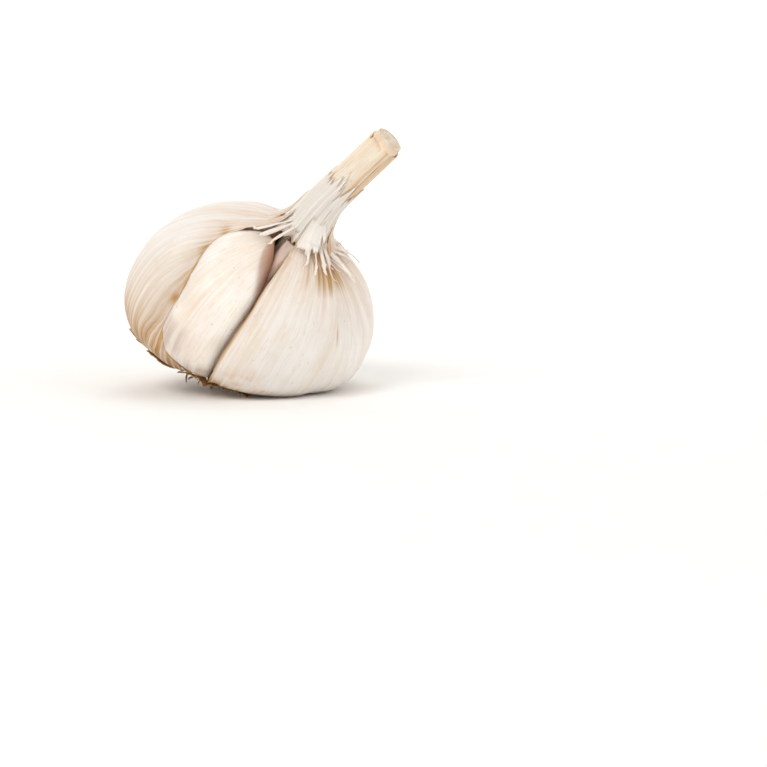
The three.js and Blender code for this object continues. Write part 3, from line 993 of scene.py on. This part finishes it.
class GARLIC_OT_outer_skin(bpy.types.Operator):
    """Builds the papery outer skin, gathered up into the neck and torn open over one clove"""

    bl_idname = "garlic.outer_skin"
    bl_label = "Build Outer Skin"

    def execute(self, context):
        settings = context.scene.garlic
        skin = settings.skin
        size = bulb_size(settings)
        material = papery_skin(skin)
        self.wrapped_skin(skin, size, material)
        self.base_band(skin, size, material)
        self.fringe(size, material)
        return {"FINISHED"}

    def torn_edges(self, up, along):
        """Angles of the two torn edges, at the open seam and on the far side of the bare clove."""
        jags = []
        for phase in (3.0, 90.0):
            line = on_line(60 * up + phase)
            small = 0.7 * ripple(line, 2.4, 42) + 0.25 * ripple(line, 0.9, 43)
            jags.append(1.3 * ripple(line, 7.0, 41) + small)
        start = 2.75 + 0.2 * jags[0]
        end = 330 + 24 * (1 - ramp(along, 0.06, 0.36)) - 22 * ramp(along, 0.45, 0.4)
        return start, end - 1.6 * bell(along, 0.47, 0.13) + 1.1 * jags[1]

    def body(self, skin, size, angle, along, lip, from_tear, pleats):
        """Points of the sheet over the cloves: loose and wrinkled, but close at the bare clove's tear."""
        spots = grain_of(angle, 60 * along)
        hug = smooth(lip / 5.0)
        curled = bell(lip, 0, 1.3) * np.clip(ripple(spots, 6.0, 57) + 0.15, 0, 1)
        wrinkles = 0.6 * skin.wrinkle / MM * (ripple(spots, 10.0, 59) + 0.4 * ripple(spots, 4.0, 61))
        offset = lerp(0.42, skin.offset / MM, hug) + skin.curl / MM * curled + hug * wrinkles
        offset = offset + ramp(along, 0.52, 0.4) * hug * skin.pleat / MM * 0.6 * pleats
        crease = bell(angle, 55.5, 2.2) * ramp(along, 0.56, 0.08) * ramp(along, 0.86, -0.08)
        body = drape_over(angle, along, offset - 0.55 * crease, size)
        close = clove_face(CLOVES["clove_2"], angle, along, 0.06 + 0.14 * curled, size)
        cling = (1 - smooth(from_tear / 6.0)) * (1 - ramp(along, 0.83, 0.07))
        body = lerp(body, close, cling[..., None])
        for _ in range(SKIN_SMOOTHINGS):
            body[:, 1:-1] = 0.25 * body[:, :-2] + 0.5 * body[:, 1:-1] + 0.25 * body[:, 2:]
        return body

    def neck(self, skin, body, angle, pleats):
        """Points of the sheet drawn up round the stalk, and how far each has climbed to its ragged top."""
        swell = 0.9 * skin.pleat / MM * pleats[0]
        controls = [body[-4], body[-1]]
        for radius, height, share in SKIN_NECK_RINGS:
            controls.append(stalk_point(angle[0], radius + share * swell, height))
        controls = np.stack(controls)
        rag = grain_of(angle, 0.0)
        top = 0.62 + 0.2 * ripple(rag, 9.0, 71) + 0.16 * ripple(rag, 2.6, 72) + 0.08 * ripple(rag, 1.0, 73)
        first = 1 / (len(controls) - 1)
        climb = lerp(first, np.clip(top, 0.35, 1.0), np.linspace(0, 1, SKIN_NECK_ROWS + 1)[1:, None])
        return catmull(controls, climb), climb

    def blemishes(self, angle, along, from_tear):
        """Browned spots along the torn edge, and one beside the crease on the far side."""
        total = 0.8 * bell(angle, 55, 1.3) * bell(along, 0.62, 0.035)
        for spot, width, depth in TEAR_BLEMISHES:
            total = total + depth * bell(along, spot, width) * bell(from_tear, 1.3, 1.1)
        return total

    def wrapped_skin(self, skin, size, material):
        """The main sheet: over the cloves from the base, then up round the stalk."""
        up, v = grid(SKIN_BODY_ROWS, SKIN_COLUMNS)
        along = lerp(SKIN_LOW, SKIN_NECK, up)
        start, end = self.torn_edges(up, along)
        angle = lerp(start, end, v)
        spots = grain_of(angle, 60 * along)
        pleats = gathered(angle + 3 * ripple(spots, 20.0, 53), 51)
        # A rough radius there turns degrees from the torn edges into millimetres
        radius = (1 - along) * 26 + 5
        from_tear = (end - angle) * DEGREE * radius
        side = np.minimum((angle - start) * DEGREE * radius, from_tear)
        lip = np.clip(np.minimum(side, (along - SKIN_LOW) * 70), 0, None)
        body = self.body(skin, size, angle, along, lip, from_tear, pleats)

        top_angle = angle[-1:]
        top_pleats = gathered(top_angle + 3 * ripple(grain_of(top_angle, 54.0), 20.0, 53), 51)
        neck, climb = self.neck(skin, body, top_angle, top_pleats)

        blank = np.zeros((SKIN_NECK_ROWS, SKIN_COLUMNS))
        all_angle = np.concatenate([angle, top_angle + blank])
        rise = np.concatenate([GRAIN_HEIGHT * along + 0 * v, GRAIN_HEIGHT * SKIN_NECK + 16 * climb])
        neck_side = 0.12 * np.minimum(top_angle - top_angle[0, 0], top_angle[0, -1] - top_angle)
        neck_edge = np.minimum(neck_side, (climb[-1:] - climb) * 18)
        edge = np.concatenate([lip, neck_edge])
        rise_low = 0.27 + 0.32 * bell(angle, 312, 42)
        low = np.concatenate([1 - ramp(along, SKIN_LOW, rise_low), blank])
        patch = smooth(0.5 + ripple(grain_of(all_angle, rise), 9.0, 77))
        # Painted shade in the hollow round the neck under the strips, laid into the torn-edge and base-stain
        # tints
        hollow_shade = 1.1 * bell(turned_from(all_angle, 65), 0, 42, 4) * ramp(rise, 46.5, 6.5) * ramp(rise, 64, -5)
        hollow_shade = hollow_shade * smooth(0.7 + 1.4 * ripple(grain_of(all_angle, 0.2 * rise), 3.6, 79))
        blemish = np.concatenate([self.blemishes(angle, along, from_tear), blank])
        mottle = bell(angle, 22, 16) * bell(along, 0.28, 0.12) * smooth(0.55 + 1.3 * ripple(spots, 2.6, 87))
        broad = lerp(0.3, 0.9, ramp(all_angle, 150, 60))
        worn = (0.3 + 0.5 * broad) * bell(edge, 0, 0.7) + broad * patch * bell(edge, 0, 2.4)
        worn = worn * np.where(rise > GRAIN_HEIGHT * SKIN_NECK, 0.55, 1.0)
        # Painted pinkish-tan shade in the pleat valleys towards the neck, plus a mottled tan patch low on the
        # bulb
        body_shade = ramp(along, 0.52, 0.4) * (0.5 - 0.8 * pleats) + mottle
        marks = {
            "grain": grain_of(all_angle, rise),
            "rim": np.clip(worn + hollow_shade + blemish, 0, 1),
            "neck": np.clip(np.concatenate([body_shade, 0.55 - top_pleats + blank]), 0, 1),
            "low": np.clip(low * (0.8 + 0.6 * patch), 0, 1),
            "stain_and_shade": np.clip(1.1 * low**2.2 * (0.35 + 0.65 * patch) + 0.6 * hollow_shade, 0, 1),
        }
        thin = skin.thickness / MM * (0.35 + 0.65 * smooth(edge / 1.2))
        sheet = np.concatenate([body, neck])
        add_sheet("outer_skin_paper", sheet, thin, marks, material, ["outer_skin"])

    def base_band(self, skin, size, material):
        """The ragged band of skin left low on the bare clove."""
        up, v = grid(30, 110)
        angle = lerp(338.0, 362.4, v)
        rag = grain_of(angle, 0.0)
        high = 0.17 + 0.035 * ripple(rag, 4.0, 81) + 0.03 * ripple(rag, 1.4, 82)
        along = lerp(SKIN_LOW, high, up)
        edge = (1 - up) * 8
        curled = 0.4 * bell(edge, 0, 1.2) * smooth(ripple(rag, 5.0, 83) + 0.1)
        middle = clove_face(CLOVES["clove_2"], angle, along, 0.3 + curled, size)
        marks = {
            "grain": grain_of(angle, GRAIN_HEIGHT * along),
            "rim": bell(edge, 0, 1.1),
            "neck": 0.0,
            "low": (1 - up) * 0.6,
            "stain_and_shade": 0.5 * (1 - up),
        }
        add_sheet("base_skin_paper", middle, skin.thickness / MM, marks, material, ["base_skin"])

    def fringe(self, size, material):
        """Browned tatters of older skin round the basal plate."""
        angle = all_round(540)
        up = np.linspace(0, 1, 26)[:, None]
        rag = grain_of(angle, 0.0)
        jag = 0.5 + 0.3 * ripple(rag, 6.0, 91) + 0.3 * ripple(rag, 1.8, 92) + 0.28 * ripple(rag, 0.7, 93)
        climb = bell(angle, 302, 34, 4)
        high = 0.075 + (0.075 + 0.06 * climb) * np.clip(jag, 0.0, 1.0) + 0.03 * climb
        along = lerp(0.012, high, up)
        edge = (1 - up) * 5
        lift = 1.35 + 0.35 * ripple(grain_of(angle, 40 * along), 3.0, 94)
        lift = lift + 0.6 * smooth(jag) * bell(edge, 0, 1.5) - 0.75 * bell(angle, 350, 13, 4)
        middle = drape_over(angle, along, lift, size)
        marks = {
            "grain": grain_of(angle, GRAIN_HEIGHT * along),
            "rim": bell(edge, 0, 1.5),
            "neck": 0.0,
            "low": 0.6 + 0.4 * ripple(grain_of(angle, 3 * up), 3.0, 96),
            "stain_and_shade": np.clip(0.3 + 0.6 * ripple(rag, 3.0, 95), 0, 1) * (1 - 0.6 * up),
        }
        add_sheet("base_fringe", middle, 0.18, marks, material, wrapped=True)


class GARLIC_OT_stalk(bpy.types.Operator):
    """Builds the dried stalk, the torn sheaths round the neck and the strips hanging from them"""

    bl_idname = "garlic.stalk"
    bl_label = "Build Stalk"

    def execute(self, context):
        settings = context.scene.garlic
        straw = dried_stalk(settings.stalk)
        sheath = dried_sheath(settings.stalk, settings.skin)
        self.core(settings.stalk, straw)
        self.wrap(settings.stalk, straw)
        self.sheaths(sheath)
        self.flap(sheath)
        size = bulb_size(settings)
        for number, strip in enumerate(STRIPS):
            self.strip(number, *strip, size, sheath)
        return {"FINISHED"}

    def core(self, stalk, material):
        """The stalk itself, ribbed along its length, with a cut end that shows its rings."""
        radius = stalk.radius / MM
        tip = stalk.reach / MM
        turn = all_round(120)
        along = np.concatenate([np.linspace(2.4, 43, 40), np.linspace(43.4, tip, 120)])[:, None]
        heights = [2.2, 20, 41, 44, 49, 55, 66, tip]
        radii = [3.4, 3.5, 3.7, 4.1, 4.0, radius, radius - 0.05, radius + 0.1]
        girth = np.interp(along, heights, radii)
        ring = grain_of(turn, 0.0, 9.0)
        ribs = ripple(ring, 2.6, 101) + 0.5 * ripple(ring, 1.1, 102)
        lumps = ripple(grain_of(turn, along, 9.0), 6.0, 103)
        oval = 0.12 * np.cos(np.radians(2 * turn - 40))
        near_cut = bell(along, tip, 1.4)
        section = girth + stalk.ridge / MM * ribs + 0.12 * lumps + oval - 0.45 * near_cut
        cut = []
        for share in CUT_END_SHARES:
            ridge = 0.18 * math.cos(share * 38)
            fibre = 0.22 * ripple(ring * share * 1.4, 0.9, 104) + 0.5 * ripple(ring * share, 5.0, 105)
            dish = -0.55 * (1 - share) ** 0.8
            cut.append(stalk_point(turn, section[-1:] * share, tip + dish + ridge + fibre)[0])
        rings = np.concatenate([stalk_point(turn, section, along), np.stack(cut)])
        levels = np.concatenate([along[:, 0], tip + 2 * np.arange(1, len(cut) + 1)])[:, None]
        pith = np.concatenate([np.zeros(len(along)), 1 - 0.5 * np.array(CUT_END_SHARES)])[:, None]
        marks = {
            "grain": grain_of(turn, levels),
            # Painted shade down the side of the stalk turned from the light
            "fold": 0.8 * bell(np.mod(turn - 60, 360), 30, 40),
            "rim": np.concatenate([0.8 * near_cut, np.zeros((len(cut), 1))]),
            "pith": pith,
        }
        add_loft("stalk_core", rings, marks, material, ["stalk"])

    def wrap(self, stalk, material):
        """The dried leaf base that still wraps most of the stalk; its free edge runs down one side."""
        up, v = grid(90, 130)
        line = on_line(40 * up)
        start = 44 + 5 * ripple(line, 16.0, 111) + 2 * ripple(line, 4.0, 112)
        turn = start + lerp(0.0, 349.0, v)
        rag = grain_of(turn, 0.0)
        torn = 1.2 * smooth(ripple(rag, 7.0, 113)) + 0.5 * smooth(ripple(rag, 2.0, 114))
        top = stalk.reach / MM - 1.6 - torn
        along = lerp(44.5, top, up)
        flare = np.interp(along, [44, 47, 50, 55], [1.3, 0.75, 0.3, 0.0])
        broad_ribs = 0.16 * ripple(grain_of(turn, 0.15 * along), 6.0, 115)
        fine_ribs = 0.07 * ripple(grain_of(turn, 0.1 * along), 2.4, 116)
        edge = np.minimum(v, 1 - v) * 20
        lift = 0.14 * bell(edge, 0, 0.7) * smooth(0.4 + ripple(line + 50, 9.0, 117))
        radius = stalk.radius / MM + 0.17 + flare + broad_ribs + fine_ribs + lift
        # Darker along the free edge and the band beside it, and painted shade down the side round turn 85
        fold = bell(edge, 0, 0.8) + 0.6 * bell(v, 0.12, 0.14) + 0.75 * bell(turned_from(turn, 85), 0, 38)
        marks = {
            "grain": grain_of(turn, along),
            "fold": np.clip(fold, 0, 1),
            "rim": bell(along, top, 0.8),
            "pith": 0.0,
        }
        middle = stalk_point(turn, radius, along)
        add_sheet("stalk_wrap", middle, 0.24, marks, material)

    def sheaths(self, material):
        """Two torn, pleated sheaths between the skin and the stalk, with ragged hems and tips."""
        turns = all_round(360)
        up = np.linspace(0, 1, 70)[:, None]
        rag = grain_of(turns, 0.0)
        for number, (low, high, hang, inwards) in enumerate(SHEATHS):
            pleats = gathered(turns, 121 + 7 * number)
            hem_rag = 0.7 * ripple(rag, 7.0, 122 + number) + 0.4 * ripple(rag, 2.0, 124 + number)
            hem = low - hang * (0.4 + hem_rag) + 1.3 * bell(turned_from(turns, -8), 0, 22)
            tip = high + 3.2 * ripple(rag, 9.0, 126 + number) + 2.2 * ripple(rag, 2.4, 128 + number)
            along = lerp(hem, tip, up)
            radius = np.interp(along, SHEATH_HEIGHTS, SHEATH_RADII) - inwards
            depth = np.interp(along, [38, 43, 50, 60], [0.7, 0.7, 0.35, 0.15])
            middle = stalk_point(turns, radius + depth * pleats, along)
            edge = np.minimum(along - hem, tip - along)
            # The neck mark paints pinkish-tan shade in the valleys of the pleats
            marks = {
                "grain": grain_of(turns, 2 * along),
                "rim": bell(edge, 0, 0.6),
                "neck": np.clip(0.6 - pleats, 0, 1),
            }
            thin = 0.2 * (0.4 + 0.6 * smooth(edge / 0.8))
            add_sheet(f"neck_sheath_{number + 1}", middle, thin, marks, material, wrapped=True)

    def flap(self, material):
        """A torn white flap that folds out from the front of the neck."""
        up, v = grid(50, 60)
        turn = lerp(3.0, 50.0, v)
        rag = grain_of(turn, 0.0)
        ragged = 0.26 * ripple(rag, 2.6, 141) + 0.14 * ripple(rag, 0.9, 142)
        reach = np.clip(1 - 1.1 * np.abs(v - 0.28) ** 1.2 + ragged, 0.25, 1.1)
        drop = reach * up
        waves = 0.35 * ripple(grain_of(turn, 6 * up), 3.2, 143) + 0.5 * up * np.cos(0.5 * np.pi * v)
        radius = np.interp(drop, FLAP_DROPS, FLAP_RADII) + waves
        middle = stalk_point(turn, radius, np.interp(drop, FLAP_DROPS, FLAP_HEIGHTS))
        edge = np.minimum((1 - up) * 6 * reach, np.minimum(v, 1 - v) * 6)
        marks = {
            "grain": grain_of(turn, 14 * drop),
            "rim": 0.5 * bell(edge, 0, 0.35),
            "neck": 0.1 * (1 - up),
        }
        add_sheet("neck_flap", middle, 0.12, marks, material)

    def strip(self, number, start, end, low, width, curl, size, material):
        """One torn strip that hangs from the neck over the shoulders of the cloves."""
        up = np.linspace(0, 1, STRIP_POINTS)
        along = lerp(0.93, low, smooth(up))
        angle = lerp(start, end, up) + 1.5 * np.sin(5 * up + number)
        lift = 1.6 + curl * (0.35 * np.sin(6 * up + 1.7 * number) + 0.9 * up**2)
        over = drape_over(angle, along, lift, size)
        root = stalk_point(np.full(STRIP_POINTS, float(start)), 5.0, np.full(STRIP_POINTS, 43.8))
        centre = lerp(root, over, smooth(up / 0.3)[:, None])
        side = np.stack([-np.sin(np.radians(angle)), np.cos(np.radians(angle)), 0 * angle], -1)
        path = np.gradient(centre, axis=0)
        path /= np.maximum(np.linalg.norm(path, axis=-1, keepdims=True), 1e-9)
        out = np.cross(path, side)
        twist = (0.5 * np.sin(3.1 * up + 2.3 * number))[:, None]
        turned = side * np.cos(twist) + out * np.sin(twist)
        across = np.linspace(-0.5, 0.5, 9)[None, :]
        waves = 1 + 0.22 * np.sin(17 * up + number) + 0.1 * np.sin(41 * up)
        taper = (0.78 * width * (1 - 0.8 * up**3) * waves)[:, None]
        sideways = turned[:, None] * (across * taper)[..., None]
        fold = out[:, None] * (0.12 * width * np.cos(3 * across))[..., None]
        middle = centre[:, None] + sideways + fold
        up = up[:, None]
        marks = {
            "grain": grain_of(angle[:, None] + across * 4, 60 * up + 13 * number),
            # Browned towards the free end; the tan along both long edges is painted shade
            "rim": np.clip(ramp(up, 0.85, 0.15) + 0.5 * (np.abs(across) > 0.45), 0, 1),
            "neck": 0.5 * (1 - up),
        }
        add_sheet(f"sheath_strip_{number + 1:02d}", middle, 0.1, marks, material)


class GARLIC_OT_roots(bpy.types.Operator):
    """Builds the basal plate and its dried roots"""

    bl_idname = "garlic.roots"
    bl_label = "Build Roots"

    def execute(self, context):
        root = context.scene.garlic.root
        material = dried_root(root)
        self.plate(root, material)
        self.rootlets(root, material)
        return {"FINISHED"}

    def plate(self, root, material):
        """The woody disc under the cloves, rough and ringed."""
        turn = all_round(144)
        rings = []
        for share, height in reversed(PLATE_OUTLINE):
            radius = share * root.plate_radius / MM
            spots = grain_of(turn, height, radius)
            below_top = height < 0.3
            rough = below_top * (0.3 * ripple(spots, 2.2, 131) + 0.2 * ripple(spots, 0.9, 132))
            rings.append(place(turn, radius + 0.4 * rough, height + rough)[0])
        rings = np.stack(rings)
        marks = {
            "grain": rings * 2.0,
            "deep": 0.6 + 0.4 * ripple(rings, 2.0, 133),
        }
        add_loft("root_plate_disc", rings, marks, material, ["root_plate"])

    def rootlets(self, root, material):
        """Thin, wavy dried roots, longest on the side that the bulb lies on."""
        random = np.random.default_rng(ROOT_SEED)
        reach = root.plate_radius / MM
        down = POSE[:3, :3].T @ np.array([0, 0, -1.0])
        low_side = math.atan2(down[1], down[0])
        golden_angle = math.pi * (3 - math.sqrt(5))
        around = -2 * np.pi * np.arange(ROOT_SIDES) / ROOT_SIDES
        ring = np.stack([np.cos(around), np.sin(around), 0 * around], -1)
        share = np.linspace(0, 1, ROOT_RINGS)
        points = []
        faces = []
        tips = []
        tones = []
        for number in range(root.count):
            angle = number * golden_angle
            start = 0.93 * reach * math.sqrt((number + 0.5) / root.count)
            pull = max(math.cos(angle - low_side), 0) ** 3
            size = 0.8 + root.reach / MM * (0.42 + 0.5 * pull) * random.uniform(0.25, 1.05)
            splay = 0.1 + 0.4 * start / reach + random.uniform(-0.3, 0.4)
            phase = random.uniform(0, 6.28, 2)
            sway = random.uniform(0.5, 1.6)
            thick = root.thickness / MM * random.uniform(0.55, 1.25)
            radius = start + splay * size * share + sway * 0.5 * np.sin(5 * share + phase[0]) * share
            turn = angle + (sway * np.sin(4 * share + phase[1]) * share) / max(start, 3.0)
            centre = place(np.degrees(turn), radius, -1.3 - size * share)
            girth = thick * (1 - 0.72 * share**1.5) * (1 + 0.12 * np.sin(23 * share + phase[0]))
            body = centre[:, None] + girth[:, None, None] * ring[None]
            faces += loft_faces(ROOT_RINGS, ROOT_SIDES, len(points))
            points += [*body.reshape(-1, 3), body[0].mean(0), body[-1].mean(0)]
            tips += [*np.repeat(1 - share, ROOT_SIDES), 1.0, 0.0]
            tones += [random.uniform(0, 60)] * (ROOT_RINGS * ROOT_SIDES + 2)
        spots = np.array(points)
        tone = np.array(tones)
        # Painted shade: each root darkens towards the plate, with a random tone of its own
        shade = 0.1 + 0.8 * np.array(tips) ** 2 + 0.25 * np.sin(tone)
        marks = {"grain": spots * 2.2 + tone[:, None], "deep": np.clip(shade, 0, 1)}
        add_piece("dried_roots", spots, faces, marks, material)


class GARLIC_OT_stage(bpy.types.Operator):
    """Builds the pale floor, the soft lights and the camera"""

    bl_idname = "garlic.stage"
    bl_label = "Build Stage"

    def execute(self, context):
        stage = context.scene.garlic.stage
        self.floor(stage)
        self.lights(context.scene, stage)
        self.camera(context.scene)
        return {"FINISHED"}

    def floor(self, stage):
        """A round floor whose rim sweeps up all round."""
        flat = stage.floor_radius
        profile = [(1e-4, 0.0), (0.15, 0.0), (0.4, 0.0), (0.7, 0.0), (flat, 0.0)]
        for step in np.linspace(0, 0.5 * np.pi, 20)[1:]:
            profile.append((flat + FLOOR_SWEEP * math.sin(step), FLOOR_SWEEP * (1 - math.cos(step))))
        profile.append((flat + FLOOR_SWEEP, FLOOR_RIM_HEIGHT))
        points = []
        faces = []
        for radius, height in profile:
            for j in range(FLOOR_SIDES):
                turn = 2 * math.pi * j / FLOOR_SIDES
                points.append((radius * math.cos(turn), radius * math.sin(turn), height))
        for i in range(len(profile) - 1):
            for j in range(FLOOR_SIDES):
                a = i * FLOOR_SIDES + j
                b = i * FLOOR_SIDES + (j + 1) % FLOOR_SIDES
                faces.append((a, a + FLOOR_SIDES, b + FLOOR_SIDES, b))
        mesh = bpy.data.meshes.new("floor")
        mesh.from_pydata(points, [], faces)
        mesh.update()
        mesh.shade_smooth()
        mesh.materials.append(painted_board(stage))
        board = bpy.data.objects.new("floor", mesh)
        bpy.context.scene.collection.objects.link(board)

    def lights(self, scene, stage):
        """A large soft key light, a wide fill, two from above and behind, and even white light all round."""
        bulb = (0, 0, 0.03)
        far_floor = (0, 1.45, 0.25)
        for name, spot, target, width, watts in [
            ("key_light", (-0.55, -0.75, 0.95), bulb, 0.7, stage.key),
            ("fill_light", (0.95, -0.45, 0.6), bulb, 0.9, stage.fill),
            ("top_light", (0.1, 0.45, 1.15), bulb, 0.9, 0.76 * stage.fill),
            ("back_light", (0.0, 0.55, 0.95), far_floor, 0.8, 2.44 * stage.fill),
        ]:
            lamp = bpy.data.lights.new(name, "AREA")
            lamp.shape = "DISK"
            lamp.size = width
            lamp.energy = watts
            holder = bpy.data.objects.new(name, lamp)
            holder.location = spot
            holder.rotation_mode = "QUATERNION"
            holder.rotation_quaternion = (Vector(target) - Vector(spot)).to_track_quat("-Z", "Y")
            scene.collection.objects.link(holder)
        world = bpy.data.worlds.new("white_room")
        world.use_nodes = True
        tree = world.node_tree
        tree.nodes.clear()
        white = {"Color": (1.0, 0.995, 0.985, 1.0), "Strength": stage.sky}
        light = node(tree, "ShaderNodeBackground", white)
        node(tree, "ShaderNodeOutputWorld", {"Surface": light})
        scene.world = world
        scene.view_settings.view_transform = "Standard"

    def camera(self, scene):
        """A long lens a little above the bulb's height."""
        lens = bpy.data.cameras.new("camera")
        lens.sensor_width = SENSOR_WIDTH
        lens.lens = FOCAL_PIXELS / PICTURE_WIDTH * SENSOR_WIDTH
        lens.clip_start = 0.05
        lens.clip_end = 20
        holder = bpy.data.objects.new("camera", lens)
        holder.location = Vector(CAMERA_PLACE) * MM
        holder.rotation_euler = (math.radians(90 - VIEW_ELEVATION), 0, 0)
        scene.collection.objects.link(holder)
        scene.camera = holder


OPERATORS = [
    GARLIC_OT_stage,
    GARLIC_OT_cloves,
    GARLIC_OT_inner_clove,
    GARLIC_OT_outer_skin,
    GARLIC_OT_stalk,
    GARLIC_OT_roots,
]


class GARLIC_PT_panel(bpy.types.Panel):
    """Lists the pieces of the bulb and their settings"""

    bl_label = "Garlic Bulb"
    bl_idname = "GARLIC_PT_panel"
    bl_space_type = "VIEW_3D"
    bl_region_type = "UI"
    bl_category = "Garlic"

    def draw(self, context):
        settings = context.scene.garlic
        for part in ("clove", "skin", "stalk", "root", "stage"):
            box = self.layout.box()
            box.label(text=part.capitalize())
            values = getattr(settings, part)
            for name in values.__annotations__:
                box.prop(values, name)
        for operator in OPERATORS:
            self.layout.operator(operator.bl_idname)


CLASSES = [
    GarlicCloveSettings,
    GarlicSkinSettings,
    GarlicStalkSettings,
    GarlicRootSettings,
    GarlicStageSettings,
    GarlicSettings,
    *OPERATORS,
    GARLIC_PT_panel,
]


def register():
    for kind in CLASSES:
        bpy.utils.register_class(kind)
    bpy.types.Scene.garlic = PointerProperty(type=GarlicSettings)


def unregister():
    del bpy.types.Scene.garlic
    for kind in reversed(CLASSES):
        bpy.utils.unregister_class(kind)


def main():
    """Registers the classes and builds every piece."""
    register()
    bpy.ops.garlic.stage()
    bpy.ops.garlic.cloves()
    bpy.ops.garlic.inner_clove()
    bpy.ops.garlic.outer_skin()
    bpy.ops.garlic.stalk()
    bpy.ops.garlic.roots()


if __name__ == "__main__":
    main()
